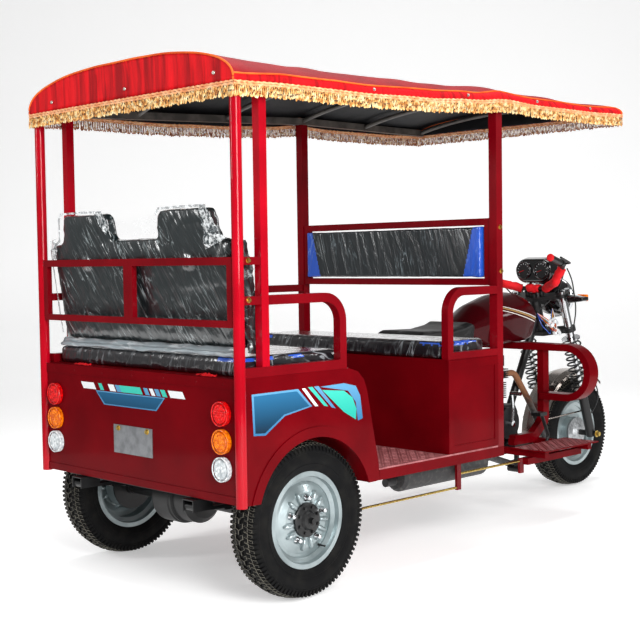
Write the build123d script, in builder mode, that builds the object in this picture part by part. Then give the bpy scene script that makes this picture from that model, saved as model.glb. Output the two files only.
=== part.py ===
"""Passenger motor tricycle with two bench seats, a fringed canopy and a motorcycle front end.

Millimetres. x points forward, y to the left and z up. The origin is on the ground, under the
middle of the vehicle's length. Distances "ahead" are measured from the rear axle.
"""

import os
from math import cos, hypot, pi, radians, sin, tan

from build123d import *

os.makedirs("parts", exist_ok=True)

# Driving dimensions
wheelbase = 2390
body_half = 572.5
wheel_inset = 69.5
tyre_radius = 272.5
tyre_width = 125
sheet = 4
seat_gap = 0.3
run_gap = 5.0

# Levels above the ground
frame_low = 366
frame_tube = 38
floor_sheet = 6
deck_top = 783
front_box_top = 774
armrest_top = 1050
roof_edge_rear = 1738
roof_edge_post = 1800
roof_edge_tip = 1796

# Lengths, ahead of the rear axle
roof_overhang_rear = 345
roof_tip = 1935
tail_face = -320
corner_post_ahead = -316
inner_post_ahead = -200
floor_front = 735
panel_front = 342
front_post_face = 1083

# Tubes and posts
corner_post_radius = 19
inner_post_width = 32
front_post_width = 38
rail_tube = 32
guard_tube = 26

# Steering head
rake_deg = 19.4
fork_offset = 45
leg_spread = 133

rear_axle_x = (roof_overhang_rear - wheelbase - tyre_radius) / 2
front_axle_x = rear_axle_x + wheelbase
track = 2 * (body_half - wheel_inset)
floor_top = frame_low + frame_tube + floor_sheet
frame_high = frame_low + frame_tube


def ahead(distance):
    """The x of a place given by its distance ahead of the rear axle."""
    return rear_axle_x + distance


def bar(start, end, across, deep, across_dir=(0, 1, 0)):
    """Adds a straight bar of rectangular section from start to end."""
    along = Vector(*end) - Vector(*start)
    with BuildSketch(Plane(origin=start, x_dir=across_dir, z_dir=along)) as section:
        Rectangle(across, deep)
    extrude(section.sketch, amount=along.length)


def rod(start, end, radius, mode=Mode.ADD):
    """Adds or cuts a straight round rod from start to end."""
    along = Vector(*end) - Vector(*start)
    with BuildSketch(Plane(origin=start, z_dir=along)) as section:
        Circle(radius)
    extrude(section.sketch, amount=along.length, mode=mode)


def bent_bar(points, bend, across, deep, across_dir=(0, 1, 0)):
    """Adds a bar of rectangular section along straight runs joined by bends."""
    with BuildLine() as route:
        FilletPolyline(*points, radius=bend)
    with BuildSketch(Plane(origin=points[0], x_dir=across_dir, z_dir=route.line % 0)) as section:
        Rectangle(across, deep)
    sweep(section.sketch, path=route.line)


def bent_rod(points, bend, radius):
    """Adds a round rod along straight runs joined by bends."""
    with BuildLine() as route:
        FilletPolyline(*points, radius=bend)
    with BuildSketch(Plane(origin=points[0], z_dir=route.line % 0)) as section:
        Circle(radius)
    sweep(section.sketch, path=route.line)


def block(x_span, y_span, z_span, mode=Mode.ADD):
    """Adds or cuts a block given by its spans ahead of the rear axle, across and up."""
    with BuildSketch(Plane.XY.offset(z_span[0])) as section:
        with Locations((ahead(sum(x_span) / 2), sum(y_span) / 2)):
            Rectangle(x_span[1] - x_span[0], y_span[1] - y_span[0])
    extrude(section.sketch, amount=z_span[1] - z_span[0], mode=mode)


def side_outline(points, y_span, mode=Mode.ADD):
    """Adds or cuts a prism whose outline, as (ahead, z) points, is seen from the side."""
    with BuildSketch(Plane(origin=(0, y_span[1], 0), x_dir=(1, 0, 0), z_dir=(0, -1, 0))) as section:
        with BuildLine():
            Polyline(*[(ahead(along), height) for along, height in points], close=True)
        make_face()
    extrude(section.sketch, amount=y_span[1] - y_span[0], mode=mode)


def turned(centre, profile, mode=Mode.ADD):
    """Adds or cuts a body turned about the axle line through centre, from (along y, radius)."""
    with BuildSketch(Plane(origin=centre, x_dir=(0, 1, 0), z_dir=(1, 0, 0))) as section:
        with BuildLine():
            Polyline(*profile, close=True)
        make_face()
    revolve(section.sketch, axis=Axis(centre, (0, 1, 0)), mode=mode)


def roof_edge(distance):
    """Height of the canopy's lower edge at a distance ahead of the rear axle."""
    if distance <= front_post_face:
        share = (distance + roof_overhang_rear) / (front_post_face + roof_overhang_rear)
        return roof_edge_rear + share * (roof_edge_post - roof_edge_rear)
    share = (distance - front_post_face) / (roof_tip - front_post_face)
    return roof_edge_post + share * (roof_edge_tip - roof_edge_post)


# Wheels: the rim is a pressed well, the disc carries pads and a hub, and the drum is inboard
rim_flange_radius = 168
rim_half = 48
bead_radius = 155
rim_sheet = 3.5
well_radius = 136
rear_drum_radius = 90
drum_inner_end = 40
backplate_sheet = 6
stub_radius = 20
stub_end = 66
tread_half = 47
shoulder_drop = 10.5
# (share of the bulge, share of the height) of the points up a tyre's sidewall
sidewall = [(0.6, 0.14), (0.94, 0.34), (1, 0.52), (0.86, 0.74), (0.45, 0.92)]
front_hub_radius = 72
front_hub_half = 60
front_axle_radius = 8
disc_pads = 5


def tyre_at(centre):
    """Adds a tyre that sits on the rim's beads."""
    inner = rim_half - rim_sheet - seat_gap
    base = bead_radius + seat_gap
    lip = rim_flange_radius + seat_gap
    outer = rim_half + seat_gap
    bulge = tyre_width / 2 - outer
    tall = tyre_radius - shoulder_drop - lip
    half = [(inner, base), (inner, lip), (outer, lip)]
    half += [(outer + share * bulge, lip + height * tall) for share, height in sidewall]
    half.append((tread_half, tyre_radius - shoulder_drop))
    half.append((tread_half * 0.55, tyre_radius - shoulder_drop * 0.3))
    half.append((0, tyre_radius))
    turned(centre, half + [(-along, radius) for along, radius in reversed(half[:-1])])


# (along the axle, radius) of one side of the rim, from its flange in to the well, and back below
rim_outer = [
    (rim_half, rim_flange_radius),
    (rim_half - rim_sheet, rim_flange_radius),
    (rim_half - rim_sheet, bead_radius),
    (28, bead_radius - rim_sheet),
    (22, well_radius),
]
rim_under = [
    (22 + rim_sheet, well_radius - rim_sheet),
    (28 + rim_sheet, bead_radius - 2 * rim_sheet),
    (rim_half, bead_radius - rim_sheet),
]
# The same way, the hub cap and the dished disc's outer face, from the axle out to the well
disc_outer = [(64, 0), (62, 26), (50, 28), (46, 42), (32, 44), (30, 52), (38, 60), (38, 96), (26, 120)]
disc_outer.append((22, well_radius - rim_sheet))
# The disc's inner face, the brake drum and the stub that runs in the axle's end
disc_inner = [(17, well_radius - rim_sheet), (21, 117), (33, 93), (33, 57), (27, 50), (10, rear_drum_radius)]
disc_inner += [(-drum_inner_end, rear_drum_radius), (-drum_inner_end, stub_radius), (-stub_end, stub_radius)]
disc_inner.append((-stub_end, 0))


def other_side(profile):
    """The mirrored profile, run through the other way."""
    return [(-along, radius) for along, radius in reversed(profile)]


def wheel_pads(centre, side):
    """Adds the ring of pressed pads round the hub."""
    pad_plane = Plane(origin=(centre[0], centre[1] + side * 36, centre[2]), x_dir=(1, 0, 0), z_dir=(0, side, 0))
    with BuildSketch(pad_plane) as pads:
        with PolarLocations(78, disc_pads, start_angle=90):
            Circle(13.5)
    extrude(pads.sketch, amount=10, taper=25)


rear_wheels = [("right", -1), ("left", 1)]

for side_name, side in rear_wheels:
    centre = (rear_axle_x, side * track / 2, tyre_radius)
    with BuildPart() as rear_tyre:
        tyre_at(centre)
    rear_tyre.part.label = f"rear_tyre_{side_name}"
    export_step(rear_tyre.part, f"parts/rear_tyre_{side_name}.step")

    with BuildPart() as rear_rim:
        profile = disc_outer + rim_under + rim_outer + other_side(rim_outer) + other_side(rim_under) + disc_inner
        turned(centre, [(side * along, radius) for along, radius in profile])
        wheel_pads(centre, side)
    rear_rim.part.label = f"rear_rim_{side_name}"
    export_step(rear_rim.part, f"parts/rear_rim_{side_name}.step")

front_centre = (front_axle_x, 0, tyre_radius)
with BuildPart() as front_tyre:
    tyre_at(front_centre)
front_tyre.part.label = "front_tyre"
export_step(front_tyre.part, "parts/front_tyre.step")

# Front hub: the drum's barrel, its flange on the right and the web out to the rim's well
hub_left = [(front_hub_half, 22), (40, 30), (34, front_hub_radius), (6, front_hub_radius), (6, 110)]
hub_left.append((14, well_radius - rim_sheet))
hub_right = [(front_hub_half, 22), (40, 30), (40, front_hub_radius + 4), (33, front_hub_radius + 4)]
hub_right += [(33, front_hub_radius), (6, front_hub_radius), (6, 110), (14, well_radius - rim_sheet)]
bore = front_axle_radius + seat_gap
with BuildPart() as front_rim:
    left_half = [(front_hub_half, bore)] + hub_left + rim_under + rim_outer
    right_half = [(front_hub_half, bore)] + hub_right + rim_under + rim_outer
    turned(front_centre, left_half + other_side(right_half))
front_rim.part.label = "front_rim"
export_step(front_rim.part, "parts/front_rim.step")

# Rear axle: tube, offset differential and the brakes' backplates
axle_tube_radius = 30
drum_side = track / 2 - drum_inner_end - run_gap
cup_end = track / 2 - stub_end - seat_gap
differential_y = 100
nose_end = 150
axle_centre = (rear_axle_x, 0, tyre_radius)
with BuildPart() as rear_axle:
    rod((rear_axle_x, -cup_end, tyre_radius), (rear_axle_x, cup_end, tyre_radius), axle_tube_radius)
    for side_name, side in rear_wheels:
        bore = stub_radius + run_gap
        cup = [(cup_end - 1, bore), (cup_end - 1, bore + 9), (drum_side - backplate_sheet, bore + 9)]
        cup += [(drum_side - backplate_sheet, rear_drum_radius + 3), (drum_side, rear_drum_radius + 3), (drum_side, bore)]
        turned(axle_centre, [(side * along, radius) for along, radius in cup])
    # (along y from the differential's middle, radius): two bolted halves with a joint ring
    case = [(-112, 28), (-104, 70), (-84, 90), (-16, 90), (-12, 98), (0, 98), (4, 102), (92, 102), (118, 78)]
    case += [(126, 28)]
    turned(axle_centre, [(differential_y + along, radius) for along, radius in case])
    nose_start = (rear_axle_x, differential_y, tyre_radius)
    rod(nose_start, (ahead(nose_end), differential_y, tyre_radius), 42)
rear_axle.part.label = "rear_axle"
export_step(rear_axle.part, "parts/rear_axle.step")

# Leaf springs, nearly flat, with eyes at both ends, clamped over the axle
spring_y = track / 2 - 173
spring_half = 330
spring_width = 50
leaf = 6
leaf_count = 4
leaf_step = 62
spring_camber = 12
eye_radius = 12
spring_low = tyre_radius + axle_tube_radius + seat_gap
spring_top = spring_low + leaf * leaf_count
camber_radius = (spring_half**2 + spring_camber**2) / (2 * spring_camber)
eye_z = spring_top + spring_camber
with BuildPart() as leaf_springs:
    for number in range(leaf_count):
        top = spring_top - number * leaf
        half = spring_half - number * leaf_step
        with BuildSketch(Plane(origin=(rear_axle_x, spring_y + spring_width / 2, 0), x_dir=(1, 0, 0), z_dir=(0, -1, 0))):
            with Locations((0, top + camber_radius)):
                Circle(camber_radius + leaf)
                Circle(camber_radius, mode=Mode.SUBTRACT)
            with Locations((0, top)):
                Rectangle(2 * half, 60, mode=Mode.INTERSECT)
        extrude(amount=spring_width)
    for end in (-1, 1):
        eye = (rear_axle_x + end * spring_half, spring_y - spring_width / 2, eye_z)
        rod(eye, (eye[0], spring_y + spring_width / 2, eye_z), eye_radius)
    block((-45, 45), (spring_y - 34, spring_y + 34), (spring_top - leaf, spring_top + 8))
    mirror(about=Plane.XZ)
leaf_springs.part.label = "leaf_springs"
export_step(leaf_springs.part, "parts/leaf_springs.step")

# Chassis: main rails, front cradle, downtube, backbone and steering head
main_rail_y = 150
main_rail = 40
main_rail_low = 306
cradle_low = 262
cradle_deep = 50
cradle_end = 1840
rail_start = 290
guard_top_z = 746
strap = 32
outrigger_reach = 246
backbone_radius = 19
backbone_top = (2085, 891)
guard_behind_head = 235
guard_ahead = backbone_top[0] - guard_behind_head
outrigger_behind = 230
outrigger_ahead = guard_ahead - outrigger_behind
backbone_kink = (1440, 757)
saddle_rail_z = 735
saddle_rail_front = 1150
down_tube_foot = (1821, 300)
head_radius = 27
stem_radius = 13
head_low = 803
head_high = 952
frame_middle = frame_low + frame_tube / 2
liner_inner = track / 2 - 78
# (distance ahead of the rear axle, reach each side) of the floor frame's cross tubes
sill_inner = body_half - frame_tube - seat_gap
cross_members = [(-293, liner_inner - 1), (310, body_half - 5.5)]
cross_members += [(floor_front - 19, sill_inner), (1064, sill_inner)]


def steer_point(height, forward=0, left=0):
    """A point at a height on the steering axis, moved square to it."""
    lean = radians(rake_deg)
    axis_x = front_axle_x - fork_offset / cos(lean) - (height - tyre_radius) * tan(lean)
    return (axis_x + forward * cos(lean), left, height + forward * sin(lean))


def backbone_z(distance):
    """Height of the backbone's centre line at a distance ahead of the rear axle."""
    low, high = backbone_kink, backbone_top
    if distance < backbone_kink[0]:
        low, high = (saddle_rail_front, saddle_rail_z), backbone_kink
    return low[1] + (distance - low[0]) * (high[1] - low[1]) / (high[0] - low[0])


def cross_tube(distance, low, high, reach):
    """Adds a square cross tube centred at a distance ahead of the rear axle."""
    block((distance - frame_tube / 2, distance + frame_tube / 2), (-reach, reach), (low, high))


# Floor frame: cross tubes, then the sills and the rails over the leaf springs with their hangers
with BuildPart() as cross_tubes:
    for distance, reach in cross_members:
        cross_tube(distance, frame_low, frame_high, reach)
cross_tubes.part.label = "cross_tubes"
export_step(cross_tubes.part, "parts/cross_tubes.step")

hanger_half = 16
hanger_sheet = 4
hanger_drop = 14
hanger_join = 12
slot_half = spring_width / 2 + seat_gap
channel_half = slot_half + hanger_sheet
beside_tube = frame_tube / 2 + seat_gap
with BuildPart() as floor_rails:
    for side in (-1, 1):
        sill = sorted((side * (body_half - frame_tube), side * body_half))
        block((panel_front + seat_gap, front_post_face), sill, (frame_low, frame_high))
        spring_rail = (side * spring_y - frame_tube / 2, side * spring_y + frame_tube / 2)
        tube_places = [distance for distance, reach in cross_members[:3]]
        for start, end in zip(tube_places, tube_places[1:]):
            block((start + beside_tube, end - beside_tube), spring_rail, (frame_low, frame_high))
        # Channels that hold the springs' eyes, each reaching under a cross tube to the rail's end
        hanger_top = frame_low - seat_gap
        rail_back = tube_places[0] + beside_tube
        rear_span = (-spring_half - hanger_half, rail_back + hanger_join)
        front_span = (spring_half - hanger_half, spring_half + hanger_half)
        for span, rail_end in [(rear_span, rail_back), (front_span, tube_places[1] + beside_tube)]:
            channel_y = (side * spring_y - channel_half, side * spring_y + channel_half)
            block(span, channel_y, (eye_z - hanger_drop, hanger_top))
            slot_y = (side * spring_y - slot_half, side * spring_y + slot_half)
            block(span, slot_y, (eye_z - hanger_drop, hanger_top - hanger_sheet), Mode.SUBTRACT)
            block((rail_end, span[1]), spring_rail, (hanger_top - hanger_sheet, frame_low))
floor_rails.part.label = "floor_rails"
export_step(floor_rails.part, "parts/floor_rails.step")

with BuildPart() as chassis_frame:
    rail_high = frame_low - seat_gap
    for side in (-1, 1):
        rail = (side * main_rail_y - main_rail / 2, side * main_rail_y + main_rail / 2)
        block((rail_start, 1120), rail, (main_rail_low, rail_high))
        block((1040, cradle_end), rail, (cradle_low, cradle_low + cradle_deep))
        outrigger = sorted((side * main_rail_y, side * outrigger_reach))
        block((outrigger_ahead - 18, outrigger_ahead + 18), outrigger, (cradle_low + 14, cradle_low + cradle_deep))
        strut_top = (ahead(1300), side * 12, backbone_z(1300) - 10)
        rod(strut_top, (ahead(1112), side * main_rail_y, main_rail_low + main_rail / 2), 14)
    cross_tube(cradle_end - frame_tube / 2, cradle_low, cradle_low + cradle_deep, main_rail_y)
    backbone = [(ahead(backbone_top[0]), 0, backbone_top[1]), (ahead(backbone_kink[0]), 0, backbone_kink[1])]
    backbone.append((ahead(saddle_rail_front), 0, saddle_rail_z))
    backbone.append((ahead(front_post_face) + seat_gap, 0, saddle_rail_z))
    bent_rod(backbone, 120, backbone_radius)
    rod((ahead(2110), 0, 850), (ahead(down_tube_foot[0]), 0, down_tube_foot[1]), backbone_radius)
    # Hanger that reaches down through the tank's tunnel to the leg guards
    block((guard_ahead - 12, guard_ahead + 12), (-15, 15), (guard_top_z + strap / 2 + seat_gap, backbone_z(guard_ahead)))
    rod(steer_point(head_low), steer_point(head_high), head_radius)
    rod(steer_point(head_low - 10), steer_point(head_high + 10), stem_radius + seat_gap, Mode.SUBTRACT)
chassis_frame.part.label = "chassis_frame"
export_step(chassis_frame.part, "parts/chassis_frame.step")

# Passenger floor of chequered sheet
with BuildPart() as floor_deck:
    block((floor_front - 395, front_post_face), (-body_half, body_half), (frame_high, floor_top))
    for side in (-1, 1):
        notch = sorted((side * (body_half - front_post_width - seat_gap), side * (body_half + 1)))
        notch_span = (front_post_face - front_post_width - seat_gap, front_post_face + 1)
        block(notch_span, notch, (frame_high - 1, floor_top + 1), Mode.SUBTRACT)
floor_deck.part.label = "floor_deck"
export_step(floor_deck.part, "parts/floor_deck.step")

# Tail panel with folded lips, holes for the lamps and the number plate's bolts
lamp_y = body_half - 82.5
lamp_radius = 41
lamp_heights = [("red", 666), ("amber", 574), ("white", 483)]
plate_width = 228
plate_height = 102
plate_sheet = 2.5
plate_centre = (5, 530)
plate_bolt_spacing = 170
plate_bolt_radius = 3.25
plate_bolt_z = 569
tail_low = frame_low + 5
tail_lip = 22
tail_half = body_half - corner_post_radius - seat_gap
tail_plane = Plane(origin=(ahead(tail_face), 0, 0), x_dir=(0, 1, 0), z_dir=(1, 0, 0))
with BuildPart() as tail_panel:
    block((tail_face, tail_face + sheet), (-tail_half, tail_half), (tail_low, deck_top - 2))
    # The lip along the top
    block((tail_face - 3, tail_face), (-tail_half, tail_half), (deck_top - 36, deck_top - 2))
    # The crease along the foot
    block((tail_face - 3, tail_face), (-tail_half, tail_half), (tail_low, tail_low + 26))
    block((tail_face, tail_face + tail_lip), (-spring_y + 30, spring_y - 30), (frame_high + seat_gap, frame_high + 4))
    with BuildSketch(tail_plane):
        with Locations(*[(side * lamp_y, height) for side in (-1, 1) for colour, height in lamp_heights]):
            Circle(lamp_radius - 12)
        with Locations((plate_centre[0], plate_bolt_z)):
            with GridLocations(plate_bolt_spacing, 0, 2, 1):
                Circle(plate_bolt_radius)
    extrude(amount=sheet, mode=Mode.SUBTRACT)
tail_panel.part.label = "tail_panel"
export_step(tail_panel.part, "parts/tail_panel.step")

# Tail lamps: a bezel and a domed lens each
for colour, height in lamp_heights:
    with BuildPart() as tail_lamps:
        for side in (-1, 1):
            lamp_plane = Plane(origin=(ahead(tail_face), side * lamp_y, height), x_dir=(0, 1, 0), z_dir=(-1, 0, 0))
            with BuildSketch(lamp_plane):
                Circle(lamp_radius)
            extrude(amount=8)
            with BuildSketch(lamp_plane.offset(8)):
                Circle(lamp_radius - 4)
            extrude(amount=9, taper=35)
    tail_lamps.part.label = f"tail_lamps_{colour}"
    export_step(tail_lamps.part, f"parts/tail_lamps_{colour}.step")

with BuildPart() as number_plate:
    plate_y = (plate_centre[0] - plate_width / 2, plate_centre[0] + plate_width / 2)
    plate_z = (plate_centre[1] - plate_height / 2, plate_centre[1] + plate_height / 2)
    block((tail_face - plate_sheet, tail_face), plate_y, plate_z)
    with BuildSketch(tail_plane.offset(-plate_sheet)):
        with Locations((plate_centre[0], plate_bolt_z)):
            with GridLocations(plate_bolt_spacing, 0, 2, 1):
                Circle(plate_bolt_radius)
    extrude(amount=plate_sheet, mode=Mode.SUBTRACT)
number_plate.part.label = "number_plate"
export_step(number_plate.part, "parts/number_plate.step")

# Rear side panels with the wheel arch, its raised band and a liner round the wheel
arch_rear = (-236, 366)
arch_top = (26, 558)
arch_front = (283, 366)
arch_band = 36
liner_radius = 302
panel_back = corner_post_ahead + corner_post_radius + seat_gap


def circle_through(first, second, third):
    """Centre and radius of the circle through three (ahead, z) points."""
    (ax, az), (bx, bz), (cx, cz) = first, second, third
    d = 2 * (ax * (bz - cz) + bx * (cz - az) + cx * (az - bz))
    a2, b2, c2 = ax * ax + az * az, bx * bx + bz * bz, cx * cx + cz * cz
    ux = (a2 * (bz - cz) + b2 * (cz - az) + c2 * (az - bz)) / d
    uz = (a2 * (cx - bx) + b2 * (ax - cx) + c2 * (bx - ax)) / d
    return ux, uz, hypot(ux - ax, uz - az)


arch_ahead, arch_z, arch_radius = circle_through(arch_rear, arch_top, arch_front)
for side_name, side in rear_wheels:
    inner_y = side * (body_half - sheet)
    skin = sorted((inner_y, side * body_half))
    with BuildPart() as fender:
        # (ahead, z) outline of the skin, its front corner cut round
        outline = [(panel_back, frame_low), (panel_back, deck_top), (188, deck_top), (236, 768), (266, 738)]
        outline += [(281, 700), (338, 430), (panel_front, frame_low)]
        side_outline(outline, skin)
        band_plane = Plane(origin=(ahead(arch_ahead), inner_y, arch_z), x_dir=(1, 0, 0), z_dir=(0, side, 0))
        with BuildSketch(band_plane):
            Circle(arch_radius + arch_band)
        extrude(amount=sheet + 4)
        with BuildSketch(band_plane):
            Circle(arch_radius)
        extrude(amount=sheet + 4, mode=Mode.SUBTRACT)
        # Liner: a half tunnel round the wheel and the wall at its inner end
        liner_plane = Plane(origin=(rear_axle_x, side * liner_inner, tyre_radius), x_dir=(1, 0, 0), z_dir=(0, side, 0))
        with BuildSketch(liner_plane):
            Circle(liner_radius + 3)
            Circle(liner_radius, mode=Mode.SUBTRACT)
        extrude(amount=body_half - sheet - liner_inner)
        with BuildSketch(liner_plane):
            Circle(liner_radius + 3)
        extrude(amount=3)
        below = sorted((side * (liner_inner - 1), side * (body_half + 10)))
        block((-420, 420), below, (-60, frame_low + 0.2), Mode.SUBTRACT)
        block((-420, panel_back), below, (frame_low - 20, deck_top), Mode.SUBTRACT)
    fender.part.label = f"fender_{side_name}"
    export_step(fender.part, f"parts/fender_{side_name}.step")

# Rear deck: the bench's top and its leaning front wall
riser_top = 208
riser_foot = 330
deck_half = body_half - sheet - seat_gap
with BuildPart() as rear_deck:
    block((tail_face + sheet + seat_gap, riser_top), (-tail_half, tail_half), (deck_top - sheet, deck_top))
    riser = [(riser_top - sheet, deck_top - sheet), (riser_top, deck_top), (riser_foot, floor_top + seat_gap)]
    riser += [(riser_foot - sheet, floor_top + seat_gap)]
    side_outline(riser, (-liner_inner + 6, liner_inner - 6))
    for side in (-1, 1):
        corner = sorted((side * (tail_half - 10), side * (deck_half + 20)))
        block((-340, panel_back), corner, (deck_top - 10, deck_top + 10), Mode.SUBTRACT)
rear_deck.part.label = "rear_deck"
export_step(rear_deck.part, "parts/rear_deck.step")

# Posts that carry the roof
base_rail_top = deck_top + seat_gap + rail_tube
roof_tube = 30


def post_top(distance):
    """Height of a post's top, just under the roof's side tube."""
    return roof_edge(distance) - roof_tube / 2 - 2 * seat_gap


with BuildPart() as rear_posts:
    for side in (-1, 1):
        foot = (ahead(corner_post_ahead), side * body_half, frame_low - 2)
        top = (ahead(corner_post_ahead), side * body_half, post_top(corner_post_ahead - corner_post_radius))
        rod(foot, top, corner_post_radius)
        post_x = (inner_post_ahead - inner_post_width / 2, inner_post_ahead + inner_post_width / 2)
        post_y = sorted((side * (body_half - inner_post_width), side * body_half))
        block(post_x, post_y, (base_rail_top + seat_gap, post_top(post_x[0])))
rear_posts.part.label = "rear_posts"
export_step(rear_posts.part, "parts/rear_posts.step")

with BuildPart() as front_posts:
    for side in (-1, 1):
        post_x = (front_post_face - front_post_width, front_post_face)
        post_y = sorted((side * (body_half - front_post_width), side * body_half))
        block(post_x, post_y, (frame_high + seat_gap, post_top(post_x[0])))
front_posts.part.label = "front_posts"
export_step(front_posts.part, "parts/front_posts.step")

# Guard frame across the tail, in two halves side by side
guard_high = 1176
guard_low = 947
guard_deep = 20
guard_middle = 10
guard_x = (corner_post_ahead - guard_deep / 2, corner_post_ahead + guard_deep / 2)
with BuildPart() as rear_guard:
    halves = [(-tail_half, guard_middle - seat_gap / 2), (guard_middle + seat_gap / 2, tail_half)]
    for right_end, left_end in halves:
        block(guard_x, (right_end, left_end), (guard_low, guard_high))
        inside = (right_end + guard_tube, left_end - guard_tube)
        block(guard_x, inside, (guard_low + guard_tube - 3, guard_high - guard_tube), Mode.SUBTRACT)
rear_guard.part.label = "rear_guard"
export_step(rear_guard.part, "parts/rear_guard.step")

# Side rails: the base rail on the deck's edge, the armrest hoop and two short rails
armrest_bend = 84
armrest_axis = armrest_top - rail_tube / 2
rear_armrest_front = 164
front_armrest_back = 752
short_rail_high = 1150
post_clear = inner_post_width / 2 + seat_gap
with BuildPart() as side_rails:
    rail_y = body_half - rail_tube / 2
    rail_span = (body_half - rail_tube, body_half)
    block((panel_back, rear_armrest_front + rail_tube / 2), rail_span, (deck_top + seat_gap, base_rail_top))
    hoop = [(ahead(inner_post_ahead + post_clear), rail_y, armrest_axis)]
    hoop.append((ahead(rear_armrest_front), rail_y, armrest_axis))
    hoop.append((ahead(rear_armrest_front), rail_y, base_rail_top - 2))
    bent_bar(hoop, armrest_bend, rail_tube, rail_tube)
    block((panel_back, inner_post_ahead - post_clear), rail_span, (armrest_top - 30, armrest_top - 2))
    block((panel_back, inner_post_ahead - post_clear), rail_span, (short_rail_high, short_rail_high + guard_tube))
    mirror(about=Plane.XZ)
side_rails.part.label = "side_rails"
export_step(side_rails.part, "parts/side_rails.step")

with BuildPart() as front_armrests:
    rest_end = front_post_face - front_post_width - seat_gap
    front_rail_top = front_box_top + seat_gap + guard_tube
    base_back = front_armrest_back - rail_tube / 2
    block((base_back, rest_end), rail_span, (front_box_top + seat_gap, front_rail_top))
    hoop = [(ahead(rest_end), rail_y, armrest_axis)]
    hoop.append((ahead(front_armrest_back), rail_y, armrest_axis))
    hoop.append((ahead(front_armrest_back), rail_y, front_rail_top - 2))
    bent_bar(hoop, armrest_bend, rail_tube, rail_tube)
    mirror(about=Plane.XZ)
front_armrests.part.label = "front_armrests"
export_step(front_armrests.part, "parts/front_armrests.step")

# Front seat box, hollow and open below, with a raised border on each side
border = 30
border_proud = 3
with BuildPart() as front_seat_box:
    wide = (-body_half, body_half)
    narrow_half = body_half - front_post_width - seat_gap
    box_z = (floor_top + seat_gap, front_box_top)
    block((floor_front, rest_end), wide, box_z)
    block((floor_front, front_post_face), (-narrow_half, narrow_half), box_z)
    hollow_z = (box_z[0] - 1, front_box_top - sheet)
    hollow_half = body_half - sheet
    block((floor_front + sheet, rest_end - sheet), (-hollow_half, hollow_half), hollow_z, Mode.SUBTRACT)
    hollow_half = narrow_half - sheet
    block((floor_front + sheet, front_post_face - sheet), (-hollow_half, hollow_half), hollow_z, Mode.SUBTRACT)
    for side in (-1, 1):
        face = sorted((side * body_half, side * (body_half + border_proud)))
        block((floor_front, rest_end), face, (box_z[0] + 4, front_box_top - 4))
        window = (floor_front + border, rest_end - border + 8)
        block(window, face, (box_z[0] + border, front_box_top - border - 8), Mode.SUBTRACT)
front_seat_box.part.label = "front_seat_box"
export_step(front_seat_box.part, "parts/front_seat_box.step")

# Front backrest: a frame between the posts and its pad
frame_bar = 28
backrest_low = 1051
backrest_high = 1320
backrest_deep = (front_post_face - 33, front_post_face - 5)
with BuildPart() as front_backrest_frame:
    block(backrest_deep, (-narrow_half, narrow_half), (backrest_low, backrest_high))
    window_half = narrow_half - frame_bar
    window_z = (backrest_low + frame_bar, backrest_high - frame_bar)
    block(backrest_deep, (-window_half, window_half), window_z, Mode.SUBTRACT)
front_backrest_frame.part.label = "front_backrest_frame"
export_step(front_backrest_frame.part, "parts/front_backrest_frame.step")

with BuildPart() as front_backrest_pad:
    pad_half = window_half - seat_gap
    pad_z = (window_z[0] + seat_gap, window_z[1] - seat_gap)
    block((backrest_deep[0] - 18, backrest_deep[1] - 4), (-pad_half, pad_half), pad_z)
front_backrest_pad.part.label = "front_backrest_pad"
export_step(front_backrest_pad.part, "parts/front_backrest_pad.step")

# Rear backrest: a leaning pad with two raised shoulders and a notch between them
lean_deg = 8.6
rear_pad_thick = 45
rear_pad_foot = (-205, 870)
pad_reach = body_half - 42.5
guard_x_front = guard_x[1]
lean = radians(lean_deg)
pad_plane = Plane(
    origin=(ahead(rear_pad_foot[0]), 0, rear_pad_foot[1]),
    x_dir=(0, 1, 0),
    z_dir=(cos(lean), 0, sin(lean)),
)
with BuildPart() as rear_backrest:
    with BuildSketch(pad_plane):
        with BuildLine():
            # (across, up the pad) for the left half, mirrored for the right
            half_outline = [(pad_reach, 0), (pad_reach, 368), (pad_reach - 74, 386), (pad_reach - 92, 478)]
            half_outline += [(pad_reach - 106, 489), (172, 489), (152, 474), (138, 392)]
            other_half = [(-across, up) for across, up in reversed(half_outline)]
            Polyline(*half_outline, *other_half, close=True)
        make_face()
    extrude(amount=-rear_pad_thick)
    # Two blocks behind the pad that rest on the guard's top bar
    for side in (-1, 1):
        rest_y = (side * 300 - 20, side * 300 + 20)
        block((guard_x_front + seat_gap, guard_x_front + 26), rest_y, (guard_high - guard_tube, guard_high - 4))
rear_backrest.part.label = "rear_backrest"
export_step(rear_backrest.part, "parts/rear_backrest.step")

# Seat cushions
cushion_half = body_half - rail_tube - 3
with BuildPart() as rear_seat_cushion:
    block((-290, 206), (-cushion_half, cushion_half), (deck_top + seat_gap, 848))
    fillet(rear_seat_cushion.edges().filter_by(Axis.Z), 20)
    fillet(rear_seat_cushion.faces().sort_by(Axis.Z)[-1].edges(), 16)
rear_seat_cushion.part.label = "rear_seat_cushion"
export_step(rear_seat_cushion.part, "parts/rear_seat_cushion.step")

with BuildPart() as front_seat_cushion:
    block((floor_front + 4, rest_end - 16), (-cushion_half, cushion_half), (front_box_top + seat_gap, 842))
    fillet(front_seat_cushion.edges().filter_by(Axis.Z), 20)
    fillet(front_seat_cushion.faces().sort_by(Axis.Z)[-1].edges(), 16)
front_seat_cushion.part.label = "front_seat_cushion"
export_step(front_seat_cushion.part, "parts/front_seat_cushion.step")

# Roof frame: side tubes on the posts and arched bows between them
roof_side_y = body_half - 20
roof_rear_end = corner_post_ahead - corner_post_radius
roof_front_end = roof_tip - 24
bow_places = [-318, 130, 600, 1064, 1480, 1895]
bow_radius = 10
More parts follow.
